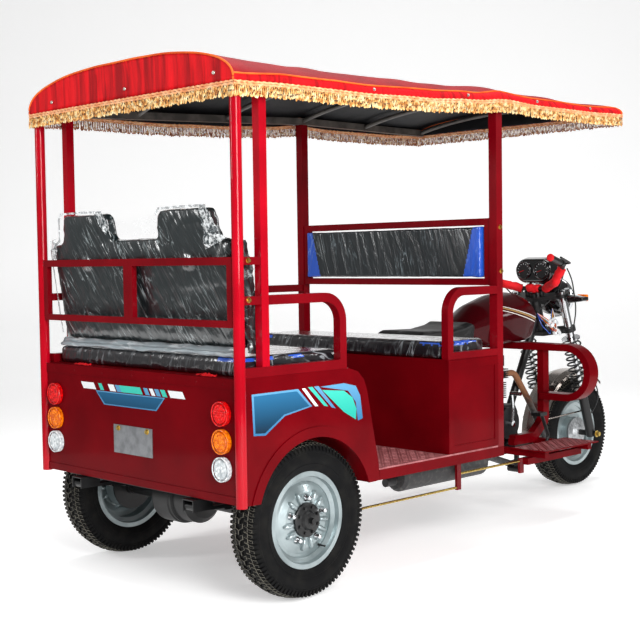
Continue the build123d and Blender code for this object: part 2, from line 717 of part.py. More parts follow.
# Rise of the canopy's middle above its edge at the rear, the posts and the front tip
crown_rises = (132, 85, 72)
shoulder = 35
cloth = 5


def crown(distance):
    """Height of the canopy's middle at a distance ahead of the rear axle."""
    start, end, rises = -roof_overhang_rear, front_post_face, crown_rises[:2]
    if distance > front_post_face:
        start, end, rises = front_post_face, roof_tip, crown_rises[1:]
    share = (distance - start) / (end - start)
    return roof_edge(distance) + rises[0] + share * (rises[1] - rises[0])


with BuildPart() as roof_frame:
    for side in (-1, 1):
        ends = [roof_rear_end, front_post_face, roof_front_end]
        for start, end in zip(ends, ends[1:]):
            first = (ahead(start), side * roof_side_y, roof_edge(start))
            last = (ahead(end), side * roof_side_y, roof_edge(end))
            bar(first, last, roof_tube, roof_tube)
    for place in bow_places:
        with BuildLine() as bow:
            left = (ahead(place), roof_side_y, roof_edge(place))
            right = (ahead(place), -roof_side_y, roof_edge(place))
            ThreePointArc(left, (ahead(place), 0, crown(place) - cloth - bow_radius - seat_gap), right)
        with BuildSketch(Plane(origin=left, z_dir=bow.line % 0)):
            Circle(bow_radius)
        sweep()
roof_frame.part.label = "roof_frame"
export_step(roof_frame.part, "parts/roof_frame.step")

# Canopy cover: an arched cloth shell, straight valance below the shoulder
roof_half = body_half + 27.5


def canopy_section(distance, inset, drop):
    """One arched section of the canopy, shrunk by inset, its foot lowered by drop."""
    half = roof_half - inset
    edge = roof_edge(distance) - drop
    side_top = roof_edge(distance) + shoulder - inset
    with BuildSketch(Plane(origin=(ahead(distance), 0, 0), x_dir=(0, 1, 0), z_dir=(1, 0, 0))) as section:
        with BuildLine():
            Polyline((-half, side_top), (-half, edge), (half, edge), (half, side_top))
            ThreePointArc((half, side_top), (0, crown(distance) - inset), (-half, side_top))
        make_face()
    return section.sketch.face()


canopy_stations = [-roof_overhang_rear, front_post_face, roof_tip]
hollow_stations = [-roof_overhang_rear + cloth, front_post_face, roof_tip - cloth]
with BuildPart() as canopy_cover:
    loft([canopy_section(station, 0, 0) for station in canopy_stations], ruled=True)
    hollow_sections = [canopy_section(station, cloth, 3) for station in hollow_stations]
    loft(hollow_sections, ruled=True, mode=Mode.SUBTRACT)
canopy_cover.part.label = "canopy_cover"
export_step(canopy_cover.part, "parts/canopy_cover.step")

# Fringe: a band of braid and tassels below the canopy's edge, all the way round
fringe_drop = 56
fringe_thick = 5
with BuildPart() as canopy_fringe:
    upper = [(place, roof_edge(place) - seat_gap) for place in canopy_stations]
    lower = [(place, roof_edge(place) - fringe_drop) for place in reversed(canopy_stations)]
    side_outline(upper + lower, (-roof_half, roof_half))
    inner_half = roof_half - fringe_thick
    inner_x = (-roof_overhang_rear + fringe_thick, roof_tip - fringe_thick)
    block(inner_x, (-inner_half, inner_half), (roof_edge_rear - 2 * fringe_drop, roof_edge_post + 10), Mode.SUBTRACT)
canopy_fringe.part.label = "canopy_fringe"
export_step(canopy_fringe.part, "parts/canopy_fringe.step")

# Fuel tank: arched sections from its tail to its nose, with a tunnel over the backbone
# (ahead, half width at the shoulder, half width at the foot, foot z, shoulder z, crown z)
tank_sections = [
    (1472, 88, 80, 812, 846, 872),
    (1600, 124, 104, 757, 876, 950),
    (1740, 141, 116, 763, 893, 988),
    (1860, 144, 116, 766, 898, 997),
    (1940, 130, 100, 778, 890, 978),
    (1985, 92, 76, 846, 884, 925),
]
tunnel_half = 30
tunnel_top = [(end, backbone_z(end) + backbone_radius + 2 * seat_gap) for end in (1441, 2000)]
tunnel = [(1441, 700), *tunnel_top, (2000, 700)]


def tank_section(distance, shoulder_half, foot_half, foot_z, shoulder_z, crown_z):
    """One section of the tank: a flat foot, leaning sides and an arched top."""
    with BuildSketch(Plane(origin=(ahead(distance), 0, 0), x_dir=(0, 1, 0), z_dir=(1, 0, 0))) as section:
        with BuildLine():
            right = (-shoulder_half, shoulder_z)
            left = (shoulder_half, shoulder_z)
            Polyline(right, (-foot_half, foot_z), (foot_half, foot_z), left)
            ThreePointArc(left, (0, crown_z), right)
        make_face()
    return section.sketch.face()


with BuildPart() as fuel_tank:
    loft([tank_section(*row) for row in tank_sections], ruled=True)
    side_outline(tunnel, (-tunnel_half, tunnel_half), Mode.SUBTRACT)
fuel_tank.part.label = "fuel_tank"
export_step(fuel_tank.part, "parts/fuel_tank.step")

# Driver's saddle, rising to its nose over the tank's tail
with BuildPart() as driver_saddle:
    saddle_outline = [(1092, 782), (1092, 838), (1110, 846), (1300, 842), (1400, 858), (1452, 874), (1469, 866)]
    saddle_outline += [(1462, 800), (1440, 782)]
    side_outline(saddle_outline, (-135, 135))
    fillet(driver_saddle.faces().sort_by(Axis.Y)[-1].edges().filter_by(lambda e: e.center().Z > 835), 14)
    fillet(driver_saddle.faces().sort_by(Axis.Y)[0].edges().filter_by(lambda e: e.center().Z > 835), 14)
    # Seat pan feet that rest on the backbone
    block((1120, 1148), (-30, 30), (saddle_rail_z + backbone_radius + 2 * seat_gap, 783))
driver_saddle.part.label = "driver_saddle"
export_step(driver_saddle.part, "parts/driver_saddle.step")

# Engine: crankcase between the cradle rails, round covers, finned cylinder leaning on top
cylinder_ahead = 1742
fin_thick = 3
fin_pitch = 10
barrel_fins = 8
head_fins = 5
with BuildPart() as engine:
    case_half = main_rail_y - main_rail / 2 - seat_gap
    case_outline = [(1430, 276), (1400, 320), (1400, 430), (1450, 476), (1775, 476), (1798, 440), (1798, 320), (1765, 276)]
    side_outline(case_outline, (-case_half + 12, case_half - 12))
    block((1470, 1500), (-case_half, case_half), (280, 300))
    block((1740, 1770), (-case_half, case_half), (280, 300))
    # (ahead, z, radius, how far it stands out) of the round side covers
    for along, height, radius, stand in [(1690, 396, 74, 34), (1540, 400, 62, 26)]:
        for side in (-1, 1):
            start = (ahead(along), side * (case_half - 14), height)
            rod(start, (ahead(along), side * (case_half - 12 + stand), height), radius)
    base = (ahead(cylinder_ahead), 0, 470)
    rod(base, (ahead(cylinder_ahead), 0, 716), 42)
    for number in range(barrel_fins):
        with BuildSketch(Plane.XY.offset(500 + number * fin_pitch)):
            with Locations((ahead(cylinder_ahead), 0)):
                RectangleRounded(116, 124, 18)
        extrude(amount=fin_thick)
    for number in range(head_fins):
        with BuildSketch(Plane.XY.offset(594 + number * fin_pitch)):
            with Locations((ahead(cylinder_ahead), 0)):
                RectangleRounded(128, 136, 14)
        extrude(amount=fin_thick)
    block((cylinder_ahead - 46, cylinder_ahead + 46), (-50, 50), (650, 700))
    # Carburettor behind the cylinder
    rod((ahead(cylinder_ahead - 40), 0, 610), (ahead(cylinder_ahead - 130), 0, 610), 22)
    rod((ahead(cylinder_ahead - 100), 0, 560), (ahead(cylinder_ahead - 100), 0, 660), 20)
engine.part.label = "engine"
export_step(engine.part, "parts/engine.step")

with BuildPart() as kick_start:
    kick_y = -(case_half - 12 + 34 + seat_gap)
    rod((ahead(1690), kick_y, 396), (ahead(1690), kick_y - 22, 396), 14)
    bent_rod([(ahead(1690), kick_y - 12, 396), (ahead(1700), kick_y - 12, 470), (ahead(1692), kick_y - 12, 540)], 30, 7)
    rod((ahead(1692), kick_y - 4, 536), (ahead(1692), kick_y - 62, 536), 9)
kick_start.part.label = "kick_start"
export_step(kick_start.part, "parts/kick_start.step")

# Exhaust: header round the engine's front and a drum silencer under the floor
pipe_radius = 15
silencer_radius = 64
silencer_y = -272
silencer_z = 290
silencer_span = (760, 1300)
with BuildPart() as exhaust:
    port = (ahead(cylinder_ahead + 64 + seat_gap), -30, 610)
    header = [port, (ahead(1890), -30, 610), (ahead(1970), -52, 480), (ahead(1925), -185, 305)]
    header += [(ahead(1800), -228, 236), (ahead(1560), -252, 236), (ahead(1380), silencer_y, silencer_z)]
    header.append((ahead(silencer_span[1] - 10), silencer_y, silencer_z))
    bent_rod(header, 45, pipe_radius)
    rod((ahead(silencer_span[0]), silencer_y, silencer_z), (ahead(silencer_span[1]), silencer_y, silencer_z), silencer_radius)
    chamfer(exhaust.edges().filter_by(GeomType.CIRCLE).filter_by(lambda e: e.radius > silencer_radius - 1), 12)
    rod((ahead(silencer_span[0] - 60), silencer_y, silencer_z - 20), (ahead(silencer_span[0] + 20), silencer_y, silencer_z - 20), 17)
    # Two straps up to the floor frame's cross tubes
    block((1055, 1073), (silencer_y - 12, silencer_y + 12), (silencer_z + silencer_radius - 3, frame_low - seat_gap))
exhaust.part.label = "exhaust"
export_step(exhaust.part, "parts/exhaust.step")

# Drive shaft from the gearbox back to the differential
shaft_rear = (nose_end + seat_gap, differential_y, tyre_radius)
shaft_front = (1400 - seat_gap, 60, 330)
flange_long = 40
with BuildPart() as drive_shaft:
    rear_inner = (ahead(shaft_rear[0] + flange_long - 8), shaft_rear[1], shaft_rear[2])
    front_inner = (ahead(shaft_front[0] - flange_long + 8), shaft_front[1], shaft_front[2])
    rod((ahead(shaft_rear[0]), shaft_rear[1], shaft_rear[2]), rear_inner, 32)
    rod(front_inner, (ahead(shaft_front[0]), shaft_front[1], shaft_front[2]), 32)
    rod(rear_inner, front_inner, 22)
drive_shaft.part.label = "drive_shaft"
export_step(drive_shaft.part, "parts/drive_shaft.step")

# Leg guards: one flat strap bent into a D on each side, with posts and feet
guard_wide = 70
guard_low_z = 519
guard_reach = 502
guard_post_y = 226
foot_deep = 44
hoop_bend = (guard_top_z - guard_low_z) / 2 - 1
foot_low = cradle_low + cradle_deep + seat_gap
with BuildPart() as leg_guards:
    outer_y = guard_reach - strap / 2
    hoop = [(ahead(guard_ahead), 0, guard_top_z), (ahead(guard_ahead), outer_y, guard_top_z)]
    hoop += [(ahead(guard_ahead), outer_y, guard_low_z), (ahead(guard_ahead), guard_post_y, guard_low_z)]
    bent_bar(hoop, hoop_bend, guard_wide, strap, (1, 0, 0))
    foot = [(ahead(guard_ahead), guard_post_y, guard_top_z), (ahead(guard_ahead), guard_post_y, 404)]
    foot_z = foot_low + foot_deep / 2
    foot += [(ahead(guard_ahead - 90), guard_post_y, foot_z), (ahead(outrigger_ahead - 10), guard_post_y, foot_z)]
    bent_bar(foot, 48, 34, foot_deep)
    block((outrigger_ahead - 18, outrigger_ahead + 18), (guard_post_y - 17, guard_post_y + 17), (foot_low, foot_low + 30))
    mirror(about=Plane.XZ)
leg_guards.part.label = "leg_guards"
export_step(leg_guards.part, "parts/leg_guards.step")

# Foot plates on square tube brackets, one each side of the front cradle
step_top = 326
step_x = (1470, 1880)
step_y = (322, 505)
step_tube = 28
step_tubes = (1500, 1830)
with BuildPart() as foot_plates:
    block(step_x, step_y, (step_top - 5, step_top))
    tube_z = (step_top - 5 - step_tube, step_top - 5)
    for place in step_tubes:
        inner = main_rail_y + main_rail / 2 + seat_gap
        block((place - step_tube / 2, place + step_tube / 2), (inner, step_y[1] - 15), tube_z)
    block((step_x[0] - 30, step_x[1] - 30), (405, 405 + step_tube), (tube_z[0] - step_tube, tube_z[0]))
    mirror(about=Plane.XZ)
foot_plates.part.label = "foot_plates"
export_step(foot_plates.part, "parts/foot_plates.step")

# Brake pedal beside the right foot plate, hung from the plate's rear tube
pedal_y = -300
cross_shaft_ahead = step_tubes[0]
cross_shaft_z = 230
shaft_radius = 15
linkage_y = -352
with BuildPart() as brake_pedal:
    arm = [(ahead(1732), pedal_y, 446), (ahead(1784), pedal_y, 340), (ahead(1735), pedal_y, 262)]
    arm.append((ahead(cross_shaft_ahead), pedal_y, cross_shaft_z))
    bent_rod(arm, 26, 8)
    block((1700, 1752), (pedal_y - 16, pedal_y + 36), (440, 456))
    shaft_start = (ahead(cross_shaft_ahead), linkage_y + 6 + seat_gap, cross_shaft_z)
    rod(shaft_start, (ahead(cross_shaft_ahead), pedal_y + 12, cross_shaft_z), shaft_radius)
    hanger_z = (cross_shaft_z, step_top - 5 - step_tube - seat_gap)
    block((cross_shaft_ahead - 10, cross_shaft_ahead + 10), (-336, -322), hanger_z)
brake_pedal.part.label = "brake_pedal"
export_step(brake_pedal.part, "parts/brake_pedal.step")

# Brake linkage: lever on the pedal's shaft, rods to a hanging lever and on to the rear drum
swing_ahead = 1062
rod_z = 212
rod_radius = 5
rear_arm_ahead = 90
backplate_face = drum_side - backplate_sheet
with BuildPart() as brake_linkage:
    lever_y = (linkage_y - 6, linkage_y + 6)
    block((cross_shaft_ahead - 14, cross_shaft_ahead + 14), lever_y, (cross_shaft_z - 16, 280))
    rod((ahead(cross_shaft_ahead), linkage_y, 268), (ahead(swing_ahead), linkage_y, 268), rod_radius)
    block((swing_ahead - 13, swing_ahead + 13), lever_y, (rod_z - 10, frame_low - seat_gap))
    bent_rod(
        [
            (ahead(swing_ahead), linkage_y, rod_z),
            (ahead(490), linkage_y, rod_z),
            (ahead(rear_arm_ahead), -backplate_face + 8, rod_z),
        ],
        60,
        rod_radius,
    )
    arm_y = (-backplate_face + seat_gap, -backplate_face + 12)
    block((rear_arm_ahead - 10, rear_arm_ahead + 10), arm_y, (rod_z - 10, tyre_radius))
    block((40, rear_arm_ahead + 10), arm_y, (tyre_radius - 10, tyre_radius + 10))
brake_linkage.part.label = "brake_linkage"
export_step(brake_linkage.part, "parts/brake_linkage.step")

# Steering: stem and two yokes, square to the leaning axis
yoke_low_thick = 22
yoke_top_thick = 18
leg_top_radius = 20.5
leg_clamp = 33
clamp_radius = 12
steer_dir = (-sin(radians(rake_deg)), 0, cos(radians(rake_deg)))
forward_dir = (cos(radians(rake_deg)), 0, sin(radians(rake_deg)))


def steer_plane(height, forward=0, left=0):
    """A plane square to the steering axis: its x is forward and its y is left."""
    return Plane(origin=steer_point(height, forward, left), x_dir=forward_dir, z_dir=steer_dir)


def steer_disc(height, forward, left, radius, thick, mode=Mode.ADD):
    """Adds or cuts a round body along the steering axis's direction."""
    with BuildSketch(steer_plane(height, forward, left)) as section:
        Circle(radius)
    extrude(section.sketch, amount=thick, mode=mode)


lean_cos = cos(radians(rake_deg))
yoke_low = head_low - (yoke_low_thick + seat_gap) * lean_cos
yoke_top = head_high + seat_gap * lean_cos
yoke_outline = [(-32, -30), (-32, 30), (24, leg_spread + 12), (70, leg_spread + 12), (46, 60), (46, -60)]
yoke_outline += [(70, -leg_spread - 12), (24, -leg_spread - 12)]
with BuildPart() as steering_yoke:
    for height, thick in [(yoke_low, yoke_low_thick), (yoke_top, yoke_top_thick)]:
        with BuildSketch(steer_plane(height)):
            with BuildLine():
                Polyline(*yoke_outline, close=True)
            make_face()
            with Locations((fork_offset, leg_spread), (fork_offset, -leg_spread)):
                Circle(leg_clamp)
                Circle(leg_top_radius + seat_gap, mode=Mode.SUBTRACT)
        extrude(amount=thick)
    steer_disc(yoke_low, 0, 0, stem_radius, (yoke_top - yoke_low) / lean_cos + 4)
    steer_disc(yoke_top + yoke_top_thick - 1, 0, 0, 17, 14)
    # Handlebar clamps
    for side in (-1, 1):
        steer_disc(yoke_top + yoke_top_thick - 3, 10, side * 42, clamp_radius, 26)
steering_yoke.part.label = "steering_yoke"
export_step(steering_yoke.part, "parts/steering_yoke.step")

# Fork legs: chrome upper tubes, thin inner rods inside the springs, black sliders and the axle
leg_top = 978
spring_high = 742
spring_foot = 494
spring_seat_radius = 46
seat_thick = 6
slider_radius = 23
inner_rod_radius = 13
slider_foot = 246
slider_inner = leg_spread - slider_radius
front_plate_side = 46
# (height on the steering axis, radius) up the outside of one leg
leg_outline = [
    (slider_foot, 0),
    (slider_foot, slider_radius),
    (spring_foot - seat_thick, slider_radius),
    (spring_foot - seat_thick, spring_seat_radius),
    (spring_foot, spring_seat_radius),
    (spring_foot, inner_rod_radius),
    (spring_high, inner_rod_radius),
    (spring_high, spring_seat_radius),
    (spring_high + seat_thick, spring_seat_radius),
    (spring_high + seat_thick, leg_top_radius),
    (leg_top, leg_top_radius),
    (leg_top, 0),
]
with BuildPart() as fork_legs:
    for side in (-1, 1):
        foot = steer_point(0, fork_offset, side * leg_spread)
        leg_plane = Plane(origin=foot, x_dir=forward_dir, z_dir=(0, -1, 0))
        with BuildSketch(leg_plane):
            with BuildLine():
                Polyline(*[(radius, height / lean_cos) for height, radius in leg_outline], close=True)
            make_face()
        revolve(axis=Axis(foot, steer_dir))
        spacer = sorted((side * (front_hub_half + seat_gap), side * (slider_inner + slider_radius / 2)))
        rod((front_axle_x, spacer[0], tyre_radius), (front_axle_x, spacer[1], tyre_radius), 14)
    reach = leg_spread + slider_radius + 14
    rod((front_axle_x, -reach, tyre_radius), (front_axle_x, reach, tyre_radius), front_axle_radius)
    for side in (-1, 1):
        nut = sorted((side * (leg_spread + slider_radius - 4), side * (reach - 2)))
        rod((front_axle_x, nut[0], tyre_radius), (front_axle_x, nut[1], tyre_radius), 14)
    # Brake plate on the right of the hub, clear of the turning drum
    plate = [(-front_plate_side, 35), (-front_plate_side, 74), (-front_plate_side - 6, 74), (-front_plate_side - 10, 44)]
    plate += [(-72, 26), (-72, 10), (-66, 10), (-66, 29)]
    turned(front_centre, plate)
fork_legs.part.label = "fork_legs"
export_step(fork_legs.part, "parts/fork_legs.step")

# Coil springs round the fork's inner rods
wire = 4.5
coil_radius = 42
coil_pitch = 29
coil_length = (spring_high - spring_foot) / lean_cos - 2 * wire - 4 * seat_gap
runs_per_turn = 14
coil_runs = int(coil_length / coil_pitch * runs_per_turn)
with BuildPart() as fork_springs:
    for side in (-1, 1):
        coil_base = steer_point(spring_foot + (wire + 2 * seat_gap) * lean_cos, fork_offset, side * leg_spread)
        coil_plane = Plane(origin=coil_base, x_dir=forward_dir, z_dir=steer_dir)
        places = []
        for number in range(coil_runs + 1):
            turn = 2 * pi * number / runs_per_turn
            rise = coil_pitch * number / runs_per_turn
            local = (coil_radius * cos(turn), coil_radius * sin(turn), rise)
            places.append(coil_plane.from_local_coords(local))
        with BuildLine() as coil:
            Polyline(*places)
        with BuildSketch(Plane(origin=places[0], x_dir=steer_dir, z_dir=coil.line % 0)) as wire_section:
            RegularPolygon(wire, 6)
        sweep(wire_section.sketch, path=coil.line, transition=Transition.RIGHT)
fork_springs.part.label = "fork_springs"
export_step(fork_springs.part, "parts/fork_springs.step")

# Handlebar: clamped at the middle, rising to a knee and then swept back through the grips
bar_radius = 11
clamp_top = steer_point(yoke_top + yoke_top_thick - 3 + 26 * lean_cos, 10)
bar_z = clamp_top[2] + (bar_radius + seat_gap) / lean_cos
knee = Vector(ahead(2012), 233, 1124)
grip_dir = Vector(-123, 24, 28).normalized()
housing_start = 12
housing_long = 30
grip_start = 45
grip_long = 115
grip_radius = 16
with BuildPart() as handlebar:
    half = [(clamp_top[0], 62, bar_z), (ahead(2018), 180, 1034), tuple(knee), tuple(knee + grip_dir * grip_start)]
    half_right = [(x, -y, z) for x, y, z in half]
    with BuildLine() as bar_line:
        FilletPolyline(*reversed(half_right), *half, radius=16)
    with BuildSketch(Plane(origin=bar_line.line @ 0, z_dir=bar_line.line % 0)):
        Circle(bar_radius)
    sweep()
handlebar.part.label = "handlebar"
export_step(handlebar.part, "parts/handlebar.step")

with BuildPart() as handlebar_grips:
    rod(tuple(knee + grip_dir * (grip_start + seat_gap)), tuple(knee + grip_dir * (grip_start + grip_long)), grip_radius)
    mirror(about=Plane.XZ)
handlebar_grips.part.label = "handlebar_grips"
export_step(handlebar_grips.part, "parts/handlebar_grips.step")

# Hand controls: a housing round the bar inboard of each grip, and its lever
outward = Vector(24, 123, 0).normalized()
with BuildPart() as hand_controls:
    with BuildSketch(Plane(origin=tuple(knee + grip_dir * housing_start), z_dir=tuple(grip_dir))):
        Circle(19)
        Circle(bar_radius + seat_gap, mode=Mode.SUBTRACT)
    extrude(amount=housing_long)
    lever_root = knee + grip_dir * 27 + outward * 16
    lever_knee = lever_root + outward * 30
    lever_tip = lever_knee + grip_dir * 128 + outward * 4
    bent_rod([tuple(lever_root), tuple(lever_knee), tuple(lever_tip)], 14, 5)
    mirror(about=Plane.XZ)
hand_controls.part.label = "hand_controls"
export_step(hand_controls.part, "parts/hand_controls.step")

# Instrument console on a stay from the upper yoke
console_centre = (2152, 0, 1094)
with BuildPart() as instrument_console:
    console_plane = Plane(origin=(ahead(console_centre[0]), 0, 0), x_dir=(0, 1, 0), z_dir=(1, 0, 0))
    with BuildSketch(console_plane.offset(-62)):
        with Locations((0, console_centre[2])):
            RectangleRounded(200, 112, 50)
    with BuildSketch(console_plane.offset(0)):
        with Locations((0, console_centre[2])):
            RectangleRounded(256, 138, 62)
    with BuildSketch(console_plane.offset(70)):
        with Locations((0, console_centre[2] - 6)):
            RectangleRounded(170, 90, 40)
    loft(ruled=True)
    stay_foot = steer_point(yoke_top + yoke_top_thick * lean_cos + seat_gap, 40)
    for side in (-1, 1):
        foot = (stay_foot[0], side * 62, stay_foot[2] + 4)
        bar(foot, (ahead(console_centre[0]) + 10, side * 50, console_centre[2] - 50), 18, 8)
instrument_console.part.label = "instrument_console"
export_step(instrument_console.part, "parts/instrument_console.step")

# Headlight: a deep shell and lens on ears that reach back to the fork's upper tubes
headlight_centre = (2262, 0, 958)
headlight_radius = 94
ear_half = 20
ear_sheet = 6
with BuildPart() as headlight:
    light_axis = Axis((ahead(headlight_centre[0]), 0, headlight_centre[2]), (1, 0, 0))
    with BuildSketch(Plane(origin=light_axis.position, x_dir=(1, 0, 0), z_dir=(0, -1, 0))):
        with BuildLine():
            shell = [(-78, 0), (-78, 34), (-62, 62), (-36, 81), (0, 91), (20, headlight_radius)]
            shell += [(36, headlight_radius), (40, 84), (53, 58), (61, 28), (63, 0)]
            Polyline(*shell, close=True)
        make_face()
    revolve(axis=light_axis)
    for side in (-1, 1):
        leg_at = steer_point(headlight_centre[2] - 10, fork_offset, side * leg_spread)
        ear_back = leg_at[0] + leg_top_radius / lean_cos + ear_half * tan(radians(rake_deg)) + ear_sheet / 4 + seat_gap
        ear_end = (ahead(headlight_centre[0]), side * 88, leg_at[2])
        bar((ear_back, leg_at[1], leg_at[2]), ear_end, ear_sheet, 2 * ear_half, (0, 1, 0))
headlight.part.label = "headlight"
export_step(headlight.part, "parts/headlight.step")

# Indicators on short stalks from the headlight's ears
with BuildPart() as indicators:
    for side in (-1, 1):
        leg_at = steer_point(headlight_centre[2] - 16, fork_offset, side * leg_spread)
        stalk_start = (leg_at[0], side * (leg_spread + leg_top_radius + seat_gap + 0.4), leg_at[2])
        rod(stalk_start, (leg_at[0], side * 186, leg_at[2]), 8)
        with BuildSketch(Plane(origin=(leg_at[0] + 4, side * 178, leg_at[2]), x_dir=(1, 0, 0), z_dir=(0, side, 0))):
            RectangleRounded(78, 44, 18)
        extrude(amount=84, taper=8)
indicators.part.label = "indicators"
export_step(indicators.part, "parts/indicators.step")

# Front mudguard: a crowned strip round the tyre with wire stays to the sliders
guard_radius = 312
mudguard_sheet = 2.5
mudguard_half = 70
stay_radius = 4
mudguard_rear_deg = 192
mudguard_arc_deg = 142
with BuildPart() as front_mudguard:
    start_angle = radians(mudguard_rear_deg)
    start_plane = Plane(origin=front_centre, x_dir=(0, 1, 0), z_dir=(sin(start_angle), 0, -cos(start_angle)))
    outer = [(-mudguard_half, guard_radius - 14), (-mudguard_half + 6, guard_radius), (-30, guard_radius + 8)]
    outer += [(30, guard_radius + 8), (mudguard_half - 6, guard_radius), (mudguard_half, guard_radius - 14)]
    inner = [(along * 0.97, radius - mudguard_sheet) for along, radius in reversed(outer)]
    with BuildSketch(start_plane):
        with BuildLine():
            Polyline(*outer, *inner, close=True)
        make_face()
    revolve(axis=Axis(front_centre, (0, 1, 0)), revolution_arc=mudguard_arc_deg)
    for side in (-1, 1):
        clamp = steer_point(372, fork_offset, side * (slider_inner - stay_radius - seat_gap))
        for stay_deg in (162, 70):
            reach = guard_radius - 8
            edge_x = front_axle_x + reach * cos(radians(stay_deg))
            edge_z = tyre_radius + reach * sin(radians(stay_deg))
            rod((edge_x, side * (mudguard_half - 1), edge_z), clamp, stay_radius)
front_mudguard.part.label = "front_mudguard"
export_step(front_mudguard.part, "parts/front_mudguard.step")
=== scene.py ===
"""Dresses the passenger motor tricycle: red enamel, a fringed cloth canopy, film-wrapped benches, block-tread tyres."""

import random
from math import acos, atan2, cos, exp, pi, radians, sin, tau

import bmesh
import bpy
from mathutils import Matrix, Vector, noise


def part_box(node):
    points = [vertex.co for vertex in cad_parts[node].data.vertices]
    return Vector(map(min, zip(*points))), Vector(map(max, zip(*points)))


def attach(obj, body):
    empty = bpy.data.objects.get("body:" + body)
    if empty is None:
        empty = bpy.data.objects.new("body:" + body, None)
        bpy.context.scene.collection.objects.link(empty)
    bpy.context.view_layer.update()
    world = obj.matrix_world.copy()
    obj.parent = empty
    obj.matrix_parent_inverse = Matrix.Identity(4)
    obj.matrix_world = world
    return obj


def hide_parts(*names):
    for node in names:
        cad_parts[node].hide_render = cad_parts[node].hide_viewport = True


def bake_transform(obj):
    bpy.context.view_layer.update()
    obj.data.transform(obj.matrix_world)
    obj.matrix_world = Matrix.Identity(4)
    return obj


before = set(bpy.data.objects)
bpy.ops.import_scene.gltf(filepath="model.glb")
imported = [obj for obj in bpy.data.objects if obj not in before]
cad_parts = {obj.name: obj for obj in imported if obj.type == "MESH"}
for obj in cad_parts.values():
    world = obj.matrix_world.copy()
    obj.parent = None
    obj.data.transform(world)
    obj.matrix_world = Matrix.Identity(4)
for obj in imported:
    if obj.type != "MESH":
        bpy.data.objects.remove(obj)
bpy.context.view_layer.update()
random.seed(7)

# Places taken from the frame, in metres. A distance "ahead" is measured from the rear axle.
right_low, right_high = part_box("rear_tyre_right")
rear_axle = (right_low + right_high) / 2
front_low, front_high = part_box("front_tyre")
front_axle = (front_low + front_high) / 2
tyre_radius = (right_high.z - right_low.z) / 2
body_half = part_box("side_rails")[1].y
tail_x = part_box("tail_panel")[0].x + 0.003
canopy_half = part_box("canopy_cover")[1].y - 0.001
linkage_levers, lever_half = (1.062, 1.5), 0.0145  # the brake linkage's two hanging levers
fork_rake = (-0.33216, 0, 0.94322)  # the steering's axis, leaning back 19.4 degrees
two_sides = ((-1, "right"), (1, "left"))
hind, right = (-1, 0, 0), (0, -1, 0)
upward = Vector((0, 0, 1))


def at(ahead, y=0.0, z=0.0):
    """The point at a distance ahead of the rear axle."""
    return Vector((rear_axle.x + ahead, y, z))


# Materials


def linear(code):
    """An sRGB hex colour as linear red, green, blue and alpha."""
    parts = [int(code[i : i + 2], 16) / 255 for i in (1, 3, 5)]
    return [c / 12.92 if c <= 0.04045 else ((c + 0.055) / 1.055) ** 2.4 for c in parts] + [1.0]


def add_node(tree, kind, inputs, stops=(), to=(), **settings):
    """Adds a node with its settings, input values or links, and ramp stops; links it to the shader's inputs in to."""
    node = tree.nodes.new("ShaderNode" + kind)
    for key, value in settings.items():
        setattr(node, key, value)
    for key, value in inputs.items():
        if isinstance(value, bpy.types.Node):
            value = value.outputs[0]
        if isinstance(value, bpy.types.NodeSocket):
            tree.links.new(value, node.inputs[key])
        else:
            node.inputs[key].default_value = value
    if stops:
        elements = node.color_ramp.elements
        while len(elements) < len(stops):
            elements.new(0.5)
        for element, (place, code) in zip(elements, stops):
            element.position = place
            element.color = linear(code)
    for key in to:
        tree.links.new(node.outputs[0], tree.nodes["Principled BSDF"].inputs[key])
    return node


def finish_of(name, colour, roughness, metallic=0.0, more=None):
    """A new material with its shader's plain values set; returns it, its nodes and the piece's own coordinates."""
    made = bpy.data.materials.new(name)
    made.use_nodes = True
    tree = made.node_tree
    plain = {"Base Color": linear(colour), "Roughness": roughness, "Metallic": metallic, **(more or {})}
    for key, value in plain.items():
        tree.nodes["Principled BSDF"].inputs[key].default_value = value
    return made, tree, tree.nodes.new("ShaderNodeTexCoord").outputs["Object"]


def stoved_enamel(name, deep, bright, coat):
    """Red stoving enamel over sheet steel: a deep gloss with faint orange peel and slightly uneven depth."""
    gloss = {"Specular IOR Level": 0.02, "Coat Weight": coat, "Coat Roughness": 0.06}
    made, tree, place = finish_of(name, bright, 0.3, more=gloss)
    cloud = add_node(tree, "TexNoise", {"Vector": place, "Scale": 5.0, "Detail": 3.0})
    add_node(tree, "ValToRGB", {"Fac": cloud}, [(0.35, deep), (0.7, bright)], ["Base Color"])
    # Orange peel ripples about 3 mm apart, drawn that coarse so that they show
    peel = add_node(tree, "TexNoise", {"Vector": place, "Scale": 330.0, "Detail": 1.0})
    add_node(tree, "Bump", {"Strength": 0.05, "Distance": 0.0004, "Height": peel}, to=["Normal", "Coat Normal"])
    return made


